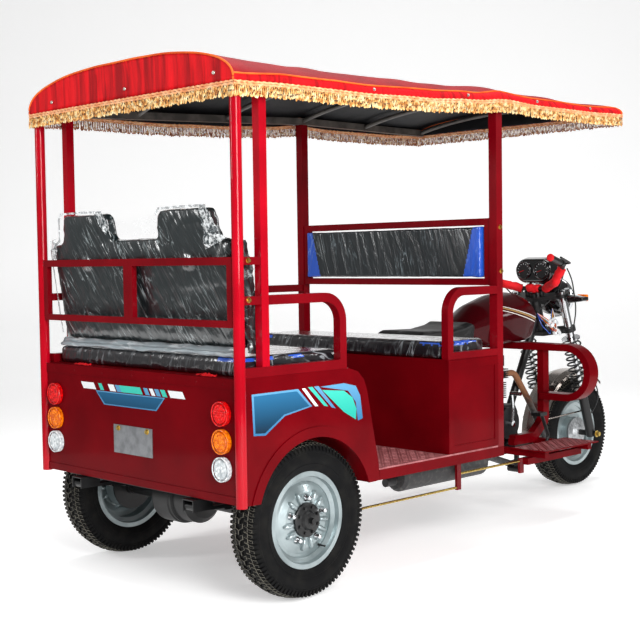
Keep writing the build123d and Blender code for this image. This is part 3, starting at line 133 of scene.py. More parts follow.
def tank_lacquer(base, slope):
    """Maroon lacquer with fine metal flake under a clear coat, with white and gold pinstripes along the sides."""
    gloss = {"Coat Weight": 0.3, "Coat Roughness": 0.03, "Specular IOR Level": 0.02}
    made, tree, place = finish_of("tank_lacquer", "#4a060f", 0.35, 0.2, gloss)
    flake = add_node(tree, "TexVoronoi", {"Vector": place, "Scale": 700.0})
    tone = add_node(tree, "ValToRGB", {"Fac": flake}, [(0.0, "#5c0712"), (0.6, "#360307")])
    # A stripe's height falls with the distance ahead: measure up from that falling line
    split = add_node(tree, "SeparateXYZ", {"Vector": place}).outputs
    ahead = add_node(tree, "Math", {0: split["X"], 1: base.x}, operation="SUBTRACT")
    level = add_node(tree, "Math", {0: ahead, 1: slope, 2: split["Z"]}, operation="MULTIPLY_ADD")
    span = add_node(tree, "MapRange", {"Value": level, "From Min": base.z - 0.012, "From Max": base.z + 0.02})
    # Bare paint and stripe by turns from each of these heights on
    edges = enumerate((0.0, 0.10, 0.22, 0.46, 0.68, 0.76, 0.88))
    where = add_node(tree, "ValToRGB", {"Fac": span}, [(edge, ("#000000", "#ffffff")[i % 2]) for i, edge in edges])
    paint = add_node(tree, "ValToRGB", {"Fac": span}, [(0.0, "#ece7df"), (0.40, "#a9854f"), (0.72, "#ece7df")])
    for ramp in (where, paint):
        ramp.color_ramp.interpolation = "CONSTANT"
    # The stripes end short of the tank's nose and seat
    fore = add_node(tree, "Math", {0: ahead, 1: 0.12, 2: 0.155}, operation="COMPARE")
    share = add_node(tree, "Math", {0: where, 1: fore}, operation="MULTIPLY")
    both = add_node(tree, "Mix", {"Factor": share, 6: tone, 7: paint}, data_type="RGBA")
    tree.links.new(both.outputs[2], tree.nodes["Principled BSDF"].inputs["Base Color"])
    return made


def coated_cloth(name, deep, bright, pleat=0.0):
    """Coated canopy cloth: a plain weave drawn coarse enough to show, in soft upright pleats as wide as pleat, with
    painted shade in the hollows of its folds.
    """
    made, tree, place = finish_of(name, bright, 0.6, more={"Specular IOR Level": 0.15})
    across, down = (1 / pleat, 1.6) if pleat else (9.0, 9.0)
    folds = add_node(tree, "Mapping", {"Vector": place, "Scale": (across, across, down)})
    cloud = add_node(tree, "TexNoise", {"Vector": folds, "Scale": 1.0, "Detail": 4.0, "Distortion": 0.5})
    # The deep tone follows the low parts of the noise that raises the creases: painted shade in the folds' hollows
    add_node(tree, "ValToRGB", {"Fac": cloud}, [(0.34, deep), (0.58, bright)], ["Base Color"])
    weave = {"Vector": place, "Scale": 150.0, "Distortion": 1.5}
    weave = add_node(tree, "TexWave", weave, bands_direction="DIAGONAL").outputs["Fac"]
    threads = add_node(tree, "Bump", {"Strength": 0.25, "Distance": 0.0006, "Height": weave})
    creases = {"Strength": 0.5, "Distance": 0.008, "Height": cloud, "Normal": threads}
    add_node(tree, "Bump", creases, to=["Normal"])
    return made


def fringe_cord(name, shade, middle, light):
    """Twisted rayon fringe: golden loops that differ in tone from tassel to tassel, with a soft sheen."""
    made, tree, place = finish_of(name, middle, 0.55, more={"Sheen Weight": 0.15, "Sheen Roughness": 0.35})
    tufts = add_node(tree, "TexNoise", {"Vector": place, "Scale": 52.0, "Detail": 1.0})
    add_node(tree, "ValToRGB", {"Fac": tufts}, [(0.36, shade), (0.5, middle), (0.66, light)], ["Base Color"])
    twist = {"Vector": place, "Scale": 130.0, "Distortion": 3.0}
    twist = add_node(tree, "TexWave", twist, bands_direction="Z").outputs["Fac"]
    add_node(tree, "Bump", {"Strength": 0.5, "Distance": 0.001, "Height": twist}, to=["Normal"])
    return made


def wrapped_vinyl(name, colour, crease_glint, amount, turn):
    """Seat vinyl under clear packing film: dark and glossy, crossed by pale crease lines that run one way, painted in
    as highlights.
    """
    made, tree, place = finish_of(name, colour, 0.3, more={"Coat Weight": 1.0, "Coat Roughness": 0.12})
    turned = {"Vector": place, "Rotation": turn, "Scale": (0.5, 0.11, 0.7)}
    turned = add_node(tree, "Mapping", turned, vector_type="TEXTURE")
    folds = {"Vector": turned, "Scale": 3.4, "Detail": 4.0, "Roughness": 0.5, "Distortion": 0.7}
    folds = add_node(tree, "TexNoise", folds)
    # A thin band of the noise's range becomes a pale crease line: a painted highlight on the film's creases
    band = [(0.0, "#000000"), (0.5 - amount, "#000000"), (0.5, "#ffffff"), (0.5 + amount * 0.4, "#000000")]
    line = add_node(tree, "ValToRGB", {"Fac": folds}, band)
    # Patches of noise choose where the painted crease highlights show
    patches = add_node(tree, "TexNoise", {"Vector": place, "Scale": 7.0, "Detail": 2.0})
    shown = add_node(tree, "ValToRGB", {"Fac": patches}, [(0.45, "#141414"), (0.68, "#e8e8e8")])
    share = add_node(tree, "Math", {0: line, 1: shown}, operation="MULTIPLY")
    add_node(tree, "ValToRGB", {"Fac": share}, [(0.0, colour), (1.0, crease_glint)], ["Base Color"])
    add_node(tree, "Bump", {"Strength": 0.6, "Distance": 0.008, "Height": folds}, to=["Normal", "Coat Normal"])
    return made


def packing_film(name, clearest, milkiest):
    """Clear packing film in folds: see-through where it is flat, milky where it is gathered, with painted shade and
    painted highlights across its folds.
    """
    made, tree, place = finish_of(name, "#dfe6e8", 0.12, more={"Coat Weight": 0.6})
    folds = {"Vector": place, "Scale": 30.0, "Detail": 5.0, "Roughness": 0.55, "Distortion": 1.6}
    folds = add_node(tree, "TexNoise", folds)
    # Dark grey to white across the folds: painted shade and painted highlights
    add_node(tree, "ValToRGB", {"Fac": folds}, [(0.44, "#4a5458"), (0.56, "#f4f8f9")], ["Base Color"])
    veil = {"Value": folds, "From Min": 0.42, "From Max": 0.62, "To Min": clearest, "To Max": milkiest}
    add_node(tree, "MapRange", veil, to=["Alpha"])
    add_node(tree, "Bump", {"Strength": 1.0, "Distance": 0.006, "Height": folds}, to=["Normal"])
    return made


def tyre_rubber():
    """Vulcanised tyre rubber: near black, dull, with a trace of yard dust."""
    made, tree, place = finish_of("tyre_rubber", "#0e0e0f", 0.62, more={"Specular IOR Level": 0.12})
    dust = add_node(tree, "TexNoise", {"Vector": place, "Scale": 24.0, "Detail": 6.0})
    add_node(tree, "ValToRGB", {"Fac": dust}, [(0.45, "#070708"), (0.78, "#171614")], ["Base Color"])
    grain = add_node(tree, "TexNoise", {"Vector": place, "Scale": 420.0, "Detail": 2.0})
    add_node(tree, "Bump", {"Strength": 0.2, "Distance": 0.0006, "Height": grain}, to=["Normal"])
    return made


def uneven_metal(name, dark, light, roughness, metallic, grain, more=None):
    """A metal or paint whose tone and gloss wander a little, as plating, casting or spraying leaves it."""
    made, tree, place = finish_of(name, light, roughness, metallic, more)
    cloud = add_node(tree, "TexNoise", {"Vector": place, "Scale": grain, "Detail": 4.0})
    add_node(tree, "ValToRGB", {"Fac": cloud}, [(0.35, dark), (0.65, light)], ["Base Color"])
    add_node(tree, "Bump", {"Strength": 0.08, "Distance": 0.0008, "Height": cloud}, to=["Normal"])
    return made


def grained_vinyl():
    """Saddle vinyl: matt black with a pebbled leather grain about 2 mm across."""
    made, tree, place = finish_of("grained_vinyl", "#131314", 0.48)
    grain = add_node(tree, "TexVoronoi", {"Vector": place, "Scale": 500.0})
    add_node(tree, "Bump", {"Strength": 0.35, "Distance": 0.0006, "Height": grain}, to=["Normal"])
    return made


def moulded_plastic(name, colour, roughness, coat=0.0):
    """Moulded plastic with a faint mould texture."""
    made, tree, place = finish_of(name, colour, roughness, more={"Coat Weight": coat, "Coat Roughness": 0.05})
    grain = add_node(tree, "TexNoise", {"Vector": place, "Scale": 500.0, "Detail": 1.0})
    add_node(tree, "Bump", {"Strength": 0.06, "Distance": 0.0004, "Height": grain}, to=["Normal"])
    return made


def fluted_lens(name, deep, bright):
    """Acrylic lamp lens with moulded prisms behind its smooth face."""
    made, tree, place = finish_of(name, bright, 0.15, more={"Coat Weight": 0.4, "Specular IOR Level": 0.2})
    prisms = add_node(tree, "TexVoronoi", {"Vector": place, "Scale": 95.0}, distance="CHEBYCHEV")
    add_node(tree, "ValToRGB", {"Fac": prisms}, [(0.1, bright), (0.75, deep)], ["Base Color"])
    add_node(tree, "Bump", {"Strength": 0.5, "Distance": 0.002, "Height": prisms}, to=["Normal"])
    return made


def printed_vinyl(name, low, high, heights=(0.62, 0.74)):
    """Printed sticker vinyl whose colour fades from its lower to its upper edge."""
    made, tree, place = finish_of(name, high, 0.3, more={"Coat Weight": 0.1, "Specular IOR Level": 0.1})
    up = add_node(tree, "SeparateXYZ", {"Vector": place}).outputs["Z"]
    share = add_node(tree, "MapRange", {"Value": up, "From Min": heights[0], "From Max": heights[1]})
    add_node(tree, "ValToRGB", {"Fac": share}, [(0.0, low), (1.0, high)], ["Base Color"])
    return made


def burnt_header():
    """Header pipe: rust brown where it runs hot by the port, grey where it cools low down."""
    made, tree, place = finish_of("burnt_header", "#6b4a35", 0.6, 0.2)
    up = add_node(tree, "SeparateXYZ", {"Vector": place}).outputs["Z"]
    share = add_node(tree, "MapRange", {"Value": up, "From Min": 0.40, "From Max": 0.56})
    mottle = add_node(tree, "TexNoise", {"Vector": place, "Scale": 60.0, "Detail": 4.0})
    heat = add_node(tree, "Math", {0: mottle, 1: 0.4, 2: share}, operation="MULTIPLY_ADD")
    stops = [(0.2, "#3c3c3d"), (0.45, "#77736e"), (0.75, "#74452c"), (1.0, "#8a5a3a")]
    add_node(tree, "ValToRGB", {"Fac": heat}, stops, ["Base Color"])
    return made


def fork_metal(split_height):
    """Fork leg: hard chrome above the spring's seat and black paint below it."""
    made, tree, place = finish_of("fork_metal", "#c9cbcd", 0.12, 1.0)
    up = add_node(tree, "SeparateXYZ", {"Vector": place}).outputs["Z"]
    above = add_node(tree, "Math", {0: up, 1: split_height}, to=["Metallic"], operation="GREATER_THAN")
    add_node(tree, "ValToRGB", {"Fac": above}, [(0.0, "#0d0d0e"), (1.0, "#cfd1d3")], ["Base Color"])
    add_node(tree, "MapRange", {"Value": above, "To Min": 0.38, "To Max": 0.1}, to=["Roughness"])
    return made


enamel = stoved_enamel("red_stoved_enamel", "#5c0209", "#6e030c", coat=0.07)
frame_enamel = stoved_enamel("red_frame_enamel", "#6a020c", "#7c0410", coat=0.35)
# The posts' red is brighter than the body's: partly its own paint, partly painted highlight
post_enamel = stoved_enamel("bright_red_enamel_painted_highlight", "#9c0214", "#b6041c", coat=0.4)
# Its deep red runs in upright stripes with the pleats: painted shade in their hollows
canopy_red = coated_cloth("red_canopy_cloth", "#9c0610", "#dc0d18", pleat=0.028)
# The top's darker red is partly fading and dust, partly painted shade
canopy_top = coated_cloth("faded_canopy_top_painted_shade", "#80121a", "#94141c")
canopy_lining = coated_cloth("dark_canopy_lining", "#101012", "#1b1b1d")
piping = coated_cloth("orange_piping", "#cc4a18", "#e86c2a")
braid = fringe_cord("peach_braid", "#e8935a", "#f5ac74", "#fbc492")
tassel = fringe_cord("golden_tassel", "#c98030", "#f7c274", "#ffeab4")
# A darker copy of the tassel colour: painted shade for the loops' inward backs
shaded_tassel_backs = fringe_cord("tassel_backs_painted_shade", "#7a3a1c", "#a8583a", "#d8b49c")
# Each wrapped vinyl's second colour is its painted crease highlight
seat_film = wrapped_vinyl("film_wrapped_vinyl", "#18171b", "#b4bbc0", 0.05, (0.35, 0.2, 0.1))
back_film = wrapped_vinyl("film_wrapped_back", "#141d1f", "#c3cfd1", 0.024, (-0.55, 0.0, 0.0))
pad_film = wrapped_vinyl("film_wrapped_pad", "#10191d", "#93a2a8", 0.02, (-0.25, 0.0, 0.0))
roll_film = wrapped_vinyl("rolled_packing_film", "#8e9a9f", "#f4f8fa", 0.09, (1.57, 0.0, 0.0))
blue_film = wrapped_vinyl("film_wrapped_blue", "#1a52c0", "#a9c4ea", 0.02, (0.2, 0.0, 0.0))
film = packing_film("crumpled_packing_film", 0.6, 0.95)
clear_film = packing_film("clear_packing_film", 0.03, 0.22)
rubber = tyre_rubber()
# Pale edge of the tread blocks: partly dust, partly a painted highlight on their bevels
dusty_highlit_rubber = uneven_metal("dusty_edge_painted_highlight", "#3c3a34", "#6e6a5e", 0.7, 0.0, 60.0)
wheel_silver = uneven_metal("silver_wheel_lacquer", "#7f8b8d", "#a3afb1", 0.3, 0.6, 9.0, {"Coat Weight": 0.5})
black_paint = uneven_metal("black_chassis_paint", "#050506", "#0d0d0e", 0.4, 0.0, 20.0)
chrome = uneven_metal("bright_chrome", "#bfc2c5", "#dcdee0", 0.09, 1.0, 6.0)
yellow_zinc = uneven_metal("yellow_passivated_zinc", "#a8893e", "#d9bd6c", 0.3, 1.0, 90.0)
grey_zinc = uneven_metal("grey_zinc_plate", "#8d8d86", "#b9b9b0", 0.38, 1.0, 60.0)
alloy = uneven_metal("cast_aluminium", "#8d9092", "#bcbfc1", 0.4, 0.6, 70.0)
engine_black = uneven_metal("black_engine_enamel", "#0e0e10", "#1d1d1f", 0.5, 0.2, 80.0)
plate_metal = uneven_metal("brushed_plate", "#7e8083", "#96989b", 0.36, 0.8, 30.0)
bow_paint = uneven_metal("grey_bow_paint", "#3c3835", "#5c5651", 0.4, 0.0, 20.0)
# Its brownish tint is a painted warm reflection of the surroundings
mudguard_chrome = uneven_metal("dull_chrome_painted_warm_reflection", "#8a817b", "#b3aaa3", 0.2, 1.0, 5.0)
floor_paint = uneven_metal("red_floor_paint", "#8c4a4c", "#ad6a6c", 0.42, 0.15, 25.0)
lacquer = tank_lacquer(at(1.69, 0, 0.924), 0.256)
saddle_vinyl = grained_vinyl()
gloss_black = moulded_plastic("gloss_black_plastic", "#08080a", 0.14, 0.8)
matt_black = moulded_plastic("matt_black_plastic", "#0b0b0c", 0.42)
yellow_wire = moulded_plastic("yellow_wire", "#e8b818", 0.4)
red_foam = coated_cloth("red_foam_sleeve", "#b80c14", "#e82028")
header = burnt_header()
lens_red = fluted_lens("red_lens", "#a00004", "#f20c0e")
lens_amber = fluted_lens("amber_lens", "#c04800", "#ff8a08")
lens_clear = fluted_lens("clear_lens", "#9aa3a8", "#f2f5f6")
white_print = printed_vinyl("white_print", "#c9ced1", "#e9ecee")
teal_print = printed_vinyl("teal_print", "#2aa898", "#45c4b0")
blue_print = printed_vinyl("blue_print", "#2f6b98", "#5d97bd", (0.59, 0.73))
deep_print = printed_vinyl("deep_blue_print", "#0a2438", "#27648c", (0.60, 0.72))
fork_paint = fork_metal(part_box("fork_springs")[0].z - 0.012)


def refinish(node, *made):
    """Gives a CAD node's object new finishes in place of its own, and returns its mesh."""
    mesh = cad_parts[node].data
    mesh.materials.clear()
    for one in made:
        mesh.materials.append(one)
    return mesh


# The finish of each CAD node that stays in sight
node_finish = {
    enamel: ("tail_panel", "fender_right", "fender_left", "rear_deck", "front_seat_box", "leg_guards", "foot_plates"),
    post_enamel: ("rear_posts",),
    frame_enamel: ("front_posts", "rear_guard", "side_rails", "front_armrests", "front_backrest_frame"),
    wheel_silver: ("rear_rim_right", "rear_rim_left", "front_rim"),
    black_paint: ("rear_axle", "leaf_springs", "chassis_frame", "drive_shaft", "fork_springs", "cross_tubes"),
    bow_paint: ("roof_frame",),
    floor_paint: ("floor_deck",),
    plate_metal: ("number_plate",),
    engine_black: ("engine",),
    header: ("exhaust",),
    chrome: ("kick_start",),
    mudguard_chrome: ("front_mudguard",),
    gloss_black: ("headlight",),
    matt_black: ("steering_yoke", "handlebar", "handlebar_grips", "hand_controls", "brake_pedal"),
    lens_red: ("tail_lamps_red",),
    lens_amber: ("tail_lamps_amber",),
    lens_clear: ("tail_lamps_white",),
}
for made, nodes in node_finish.items():
    for node in nodes:
        refinish(node, made)
# The floor's rails are black below, and red only where the sills show at the sides
for face in refinish("floor_rails", black_paint, enamel).polygons:
    face.material_index = 1 if abs(face.center.y) > 0.5 else 0
# The two hanging levers are painted, the rods between them plated
for face in refinish("brake_linkage", yellow_zinc, frame_enamel).polygons:
    away = min(abs(face.center.x - at(lever).x) for lever in linkage_levers)
    face.material_index = 1 if away < lever_half else 0
# The brake plate between the sliders is bare casting
for face in refinish("fork_legs", fork_paint, alloy).polygons:
    near = (face.center - front_axle).xz.length < 0.08 and abs(face.center.y) < 0.075
    face.material_index = 1 if near else 0


# Making pieces


def mesh_of(bm, name):
    """A mesh made of a bmesh, which is freed."""
    mesh = bpy.data.meshes.new(name)
    bm.to_mesh(mesh)
    bm.free()
    return mesh


def placed(name, data):
    """A new object in the scene, at the origin."""
    obj = bpy.data.objects.new(name, data)
    bpy.context.scene.collection.objects.link(obj)
    return obj


def piece(name, bm, body, *made, smooth=True, recalc=True):
    """Turns a bmesh into a piece that rides on a body."""
    if recalc:
        bmesh.ops.recalc_face_normals(bm, faces=bm.faces)
    mesh = mesh_of(bm, name)
    for one in made:
        mesh.materials.append(one)
    if smooth:
        mesh.shade_smooth()
    obj = placed(name, mesh)
    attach(obj, body)
    return obj


def finish_with(obj, kind, **settings):
    """Adds a modifier with its settings."""
    modifier = obj.modifiers.new(kind.title(), kind)
    for key, value in settings.items():
        setattr(modifier, key, value)
    return modifier


def settle(obj, *modifiers):
    """Applies modifiers in turn, so that their result is the piece's own mesh."""
    for modifier in modifiers:
        with bpy.context.temp_override(object=obj, active_object=obj, selected_objects=[obj]):
            bpy.ops.object.modifier_apply(modifier=modifier.name)


def skin(bm, rows, closed=False):
    """Lays faces between neighbouring rows of as many points each; closed rows are rings."""
    for first, last in zip(rows, rows[1:]):
        for j in range(len(first) - (0 if closed else 1)):
            k = (j + 1) % len(first)
            bm.faces.new((first[j], first[k], last[k], last[j]))


def stamp(bm, mesh, place):
    """Adds a copy of a small mesh, moved by a matrix."""
    before = len(bm.verts)
    bm.from_mesh(mesh)
    bm.verts.ensure_lookup_table()
    for vert in bm.verts[before:]:
        vert.co = place @ vert.co


def turn_to(direction):
    """The turn that takes +Z to a direction."""
    return Vector(direction).to_track_quat("Z", "Y").to_matrix().to_4x4()


def raised(height):
    """A move along a place's own upright."""
    return Matrix.Translation((0, 0, height))


def round_axle(radius, angle, along=0.0):
    """A point about a wheel's axle: its distance from it, the turn from the top, and the way along it."""
    return Vector((radius * sin(angle), along, radius * cos(angle)))


def add_cone(bm, place, foot, top, depth, segments):
    """A closed disc or cone with its middle at a place."""
    bmesh.ops.create_cone(
        bm, cap_ends=True, segments=segments, radius1=foot, radius2=top, depth=depth, matrix=place
    )


def add_bolt(bm, place, direction, across, high):
    """A hexagon head on its round washer, its foot at a place."""
    washer = 0.0016
    spot = Matrix.Translation(place) @ turn_to(direction)
    add_cone(bm, spot @ raised(washer / 2), across * 0.82, across * 0.78, washer, 14)
    add_cone(bm, spot @ raised(washer + high / 2), across * 0.577, across * 0.54, high, 6)


def add_block(bm, centre, size, bevel, turn=Matrix.Identity(4)):
    """A bevelled block."""
    spot = Matrix.Translation(centre) @ turn @ Matrix.Diagonal((*size, 1.0))
    made = bmesh.ops.create_cube(bm, size=1.0, matrix=spot)
    edges = {edge for vert in made["verts"] for edge in vert.link_edges}
    bmesh.ops.bevel(bm, geom=list(edges), offset=bevel, affect="EDGES", segments=2, profile=0.5, material=-1)


def spun(bm, profile, centre, axis, steps, start=(0, 0, 1)):
    """A body turned about an axis from (along, radius) points; ends on the axis are closed."""
    axis, start = Vector(axis), Vector(start)
    verts = [bm.verts.new(Vector(centre) + axis * along + start * max(radius, 1e-5)) for along, radius in profile]
    edges = [bm.edges.new(pair) for pair in zip(verts, verts[1:])]
    bmesh.ops.spin(
        bm, geom=verts + edges, cent=centre, axis=axis, angle=tau, steps=steps, use_merge=True, use_duplicate=False
    )
    bmesh.ops.remove_doubles(bm, verts=bm.verts, dist=2e-5)


def cord_run(bm, points, radius, sides=6):
    """Adds a cord of even radius through points."""
    rings = []
    for i, point in enumerate(points):
        turn = turn_to(points[min(i + 1, len(points) - 1)] - points[max(i - 1, 0)])
        ring = (Vector((radius * cos(tau * k / sides), radius * sin(tau * k / sides), 0)) for k in range(sides))
        rings.append([bm.verts.new(point + turn @ spot) for spot in ring])
    skin(bm, rings, closed=True)


def rumple(bm, scale, depth):
    """Wrinkles the skin of rolls or sleeves and closes their ends."""
    for vert in bm.verts:
        vert.co += Vector([noise.noise(vert.co * scale + Vector((k * 7, 0, 0))) for k in range(3)]) * depth
    bmesh.ops.holes_fill(bm, edges=[edge for edge in bm.edges if edge.is_boundary], sides=0)


def gather(bm, edge, other, lift, out, seed, count=9):
    """Crumpled film between two edges of as many points each, standing off along a direction by up to its lift."""
    rows, parts = [], 7
    for i in range(len(edge) * parts - parts + 1):
        k = min(i // parts, len(edge) - 2)
        share = (i - parts * k) / parts
        one, two = edge[k].lerp(edge[k + 1], share), other[k].lerp(other[k + 1], share)
        rows.append([])
        for j in range(count):
            spot = one.lerp(two, j / (count - 1) + 0.05 * noise.noise(Vector((i, seed, j))))
            rise = abs(noise.noise(spot * 55 + Vector((seed, 0, 0)))) + 0.5 * abs(noise.noise(spot * 130))
            rows[-1].append(bm.verts.new(spot + Vector(out) * lift * (0.1 + rise)))
    skin(bm, rows)


def copy_of(node):
    """A bmesh copy of a CAD node with its doubled points merged."""
    bm = bmesh.new()
    bm.from_mesh(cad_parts[node].data)
    bmesh.ops.remove_doubles(bm, verts=bm.verts, dist=0.00002)
    return bm


# Canopy: an arched sheet over the bows, its edge turned down as a valance and closed at both ends.
# Rows along the roof: distance ahead, the skirt's lower edge, the seam's rise above it, the crown, the fullness
roof_rows = (
    (-0.344, 1.734, 0.022, 1.867, 0.80), (-0.10, 1.741, 0.031, 1.871, 0.86), (0.25, 1.742, 0.032, 1.875, 0.93),
    (0.57, 1.752, 0.033, 1.879, 0.95), (0.88, 1.768, 0.034, 1.882, 0.95), (1.083, 1.786, 0.035, 1.883, 0.92),
    (1.28, 1.778, 0.033, 1.879, 0.90), (1.66, 1.780, 0.031, 1.873, 0.90), (1.934, 1.788, 0.032, 1.868, 0.86),
)  # fmt: skip
rear_s, tip_s, front_post_s = roof_rows[0][0], roof_rows[-1][0], 1.083
bow_places = (-0.318, 0.130, 0.600, 1.064, 1.480, 1.895)
slack_between_bows = 0.009
skirt_ripple = 0.005
cloth_columns, cloth_rows = 96, 160
turns = [2 * j / cloth_columns - 1 for j in range(cloth_columns + 1)]


def roof_at(s):
    """The skirt's edge, the seam's rise, the crown and the fullness at a distance ahead, softly from row to row."""
    for first, last in zip(roof_rows, roof_rows[1:]):
        if s <= last[0] or last is roof_rows[-1]:
            share = min(1.0, (s - first[0]) / (last[0] - first[0]))
            share = share * share * (3 - 2 * share)
            return [one + share * (two - one) for one, two in zip(first[1:], last[1:])]


def edge_at(s, side, up=0.0, inset=0.0):
    """A point on the skirt's lower edge, or a little above it."""
    return at(s, side * (canopy_half - inset), roof_at(s)[0] + up)


def roof_point(s, turn):
    """A point of the canopy's section: turn runs from -1 at the right edge over the crown to 1 at the left one."""
    angle, side = turn * pi / 2, 1 if turn > 0 else -1
    edge, rise, top, full = roof_at(s)
    y = canopy_half * side * abs(sin(angle)) ** full
    height = cos(angle) ** full
    near = min(abs(s - bow) for bow in bow_places)
    slack = slack_between_bows * (1 - exp(-near * 16)) * height
    wave = noise.noise(Vector((s * 3.1, y * 4.0, 0.3))) * 0.004 + noise.noise(Vector((s * 9, y * 7, 4.0))) * 0.0018
    # The skirt below the seam hangs free and ripples inward
    free = max(0.0, 1 - height * (top - edge) / rise)
    ripple = (0.5 + 0.5 * noise.noise(Vector((s * 15, turn, 1.4)))) * skirt_ripple * free
    z = edge + (top - edge) * height - slack + (wave - 0.001) * height
    return at(s, y - ripple * side, z)


def seam_turn(s):
    """How far round the section the seam above the skirt runs."""
    edge, rise, top, full = roof_at(s)
    return acos((rise / (top - edge)) ** (1 / full)) / (pi / 2)


def stations(count):
    """Distances ahead that divide the roof into equal parts."""
    return [rear_s + (tip_s - rear_s) * i / count for i in range(count + 1)]


bm = bmesh.new()
rows = [[bm.verts.new(roof_point(s, turn)) for turn in turns] for s in stations(cloth_rows)]
skin(bm, rows)
# The gables: from the arch down to the edge at both ends
for row, s, inward in ((rows[0], rear_s, 1), (rows[-1], tip_s, -1)):
    arch = row[1:-1]
    hung = [arch]
    for share in (0.12, 0.3, 0.5, 0.7, 0.85, 1.0):
        hung.append([])
        for top in (vert.co for vert in arch):
            # Gathers run down from the arch, deepest half way
            fold = sin(top.y * 85 + noise.noise(Vector((top.y * 5, 0, share * 0.6))) * 6)
            fold = (0.5 + 0.5 * fold) * 0.006 + (0.5 + 0.5 * noise.noise(Vector((top.y * 9, inward, share)))) * 0.004
            fold *= sin(pi * min(share, 0.75) / 1.5) * (1 - (top.y / canopy_half) ** 4)
            z = top.z + (roof_at(s)[0] - top.z) * share
            hung[-1].append(bm.verts.new((top.x + inward * fold, top.y, z)))
    skin(bm, hung)
bmesh.ops.remove_doubles(bm, verts=bm.verts, dist=0.0005)
bmesh.ops.recalc_face_normals(bm, faces=bm.faces)
cloth_area = sum(face.calc_area() for face in bm.faces)
# The flat top is darker than the red valances: partly faded, partly painted shade
for face in bm.faces:
    middle = face.calc_center_median()
    edge, rise = roof_at(middle.x - rear_axle.x)[:2]
    valance = middle.z < edge + rise or abs(face.normal.x) > 0.8
    face.material_index = 0 if valance else 1
canopy = piece("canopy_sheet", bm, "chassis", canopy_red, canopy_top, canopy_lining)
finish_with(canopy, "SOLIDIFY", thickness=0.0016, offset=-1.0, material_offset=2, material_offset_rim=0)
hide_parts("canopy_cover")

# Piping: a corded seam along the shoulders and round both ends' arches
bm = bmesh.new()
for side in (-1, 1):
    proud = Vector((0, side * 0.001, 0.001))
    cord_run(bm, [roof_point(s, side * seam_turn(s)) + proud for s in stations(90)], 0.0032)
for s in (rear_s, tip_s):
    cord_run(bm, [roof_point(s, turn) for turn in turns], 0.0036)
seam = piece("canopy_piping", bm, "chassis", piping)

# Braid round the canopy's edge: two cords that weave about each other
edge_run = [edge_at(s, 1) for s in reversed(stations(90)[::3])] + [edge_at(s, -1) for s in stations(90)[::3]]
edge_run.append(edge_run[0])
edge_parts = []
for start, end in zip(edge_run, edge_run[1:]):
    way = (end - start).normalized()
    edge_parts.append((start, end, way, way.cross(upward)))
bm = bmesh.new()
for start, end, way, out in edge_parts:
    count = max(2, int((end - start).length / 0.006))
    for rise, lag in ((-0.003, 0), (-0.0105, pi / 2)):
        swings = [sin(i * pi / 2 + lag) * 0.0012 for i in range(count + 1)]
        twist = [start.lerp(end, i / count) + upward * (rise + swing) - out * 0.0016 for i, swing in enumerate(swings)]
        cord_run(bm, twist, 0.0042, 5)
braid_band = piece("canopy_braid", bm, "chassis", braid)

# Tassels: six different loops of cord, set side by side below the braid
tassel_long, tassel_pitch, braid_drop = 0.038, 0.0084, 0.014


def tassel_loop(number):
    """The loop of one tassel's cord: down one strand and up the other, both a little uneven."""
    long = tassel_long + random.uniform(-0.002, 0.002)
    wide = random.uniform(0.0027, 0.0036)
    line = [Vector((-wide, random.uniform(-0.0006, 0.0006), 0.0))]
    strands = ((-1, range(1, 5), 1.7, 2.1, 0.0008), (1, range(4, -1, -1), 1.3, 1.9, 0.001))
    for side, fifths, bulge, wave, depth in strands:
        for k in fifths:
            out = side * wide * (1 + 0.18 * sin(k * bulge + number))
            line.append(Vector((out, depth * sin(k * wave + number), -long * k / 5)))
        if side < 0:
            turn = ((-0.7, 0, 0.95), (0, 0.0006, 1), (0.7, 0, 0.95))
            line += [Vector((out * wide, back, -long * down)) for out, back, down in turn]
    return line


loops = []
for number in range(6):
    bm = bmesh.new()
    cord_run(bm, tassel_loop(number), 0.0021, 5)
    loops.append(mesh_of(bm, f"tassel_{number}"))

bm = bmesh.new()
for start, end, way, out in edge_parts:
    count = round((end - start).length / tassel_pitch)
    for i in range(count):
        spot = start.lerp(end, (i + 0.5) / count) - out * random.uniform(0.0, 0.004) - upward * braid_drop
        turn = Matrix((way, -out, upward)).transposed().to_4x4()
        sway = Matrix.Rotation(random.gauss(0, 0.06), 4, "Y") @ Matrix.Rotation(random.uniform(-0.08, 0.03), 4, "X")
        sway = sway @ Matrix.Diagonal((1, 1, random.uniform(0.88, 1.04), 1))
        stamp(bm, loops[(i * 7 + random.randrange(6)) % 6], Matrix.Translation(spot) @ turn @ sway)
bm.normal_update()
for face in bm.faces:
    # The loops' inward backs are painted darker: painted shade under the canopy
    spot = face.calc_center_median()
    outward = spot.y * face.normal.y / canopy_half
    if min(spot.x - at(rear_s).x, at(tip_s).x - spot.x) < 0.012:
        outward = face.normal.x * (-1 if spot.x < at(front_post_s).x else 1)
    face.material_index = 1 if outward < -0.25 else 0
fringe = piece("canopy_tassels", bm, "chassis", tassel, shaded_tassel_backs, recalc=False)
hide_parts("canopy_fringe")
for mesh in loops:
    bpy.data.meshes.remove(mesh)

# Press studs with a raised eye along the valance
bm = bmesh.new()
studs = [(at(rear_s, y, 1.766), hind) for y in (0.442, -0.02, -0.501)]
for s in (0.312, 0.841, 1.291, 1.680):
    studs += [(edge_at(s, side, 0.016, 0.001), (0, side, 0)) for side in (-1, 1)]
for place, way in studs:
    spot = Matrix.Translation(place) @ turn_to(way)
    add_cone(bm, spot, 0.0065, 0.005, 0.003, 18)
    add_cone(bm, spot @ raised(0.002), 0.0032, 0.002, 0.003, 12)
piece("canopy_studs", bm, "chassis", grey_zinc, smooth=False)


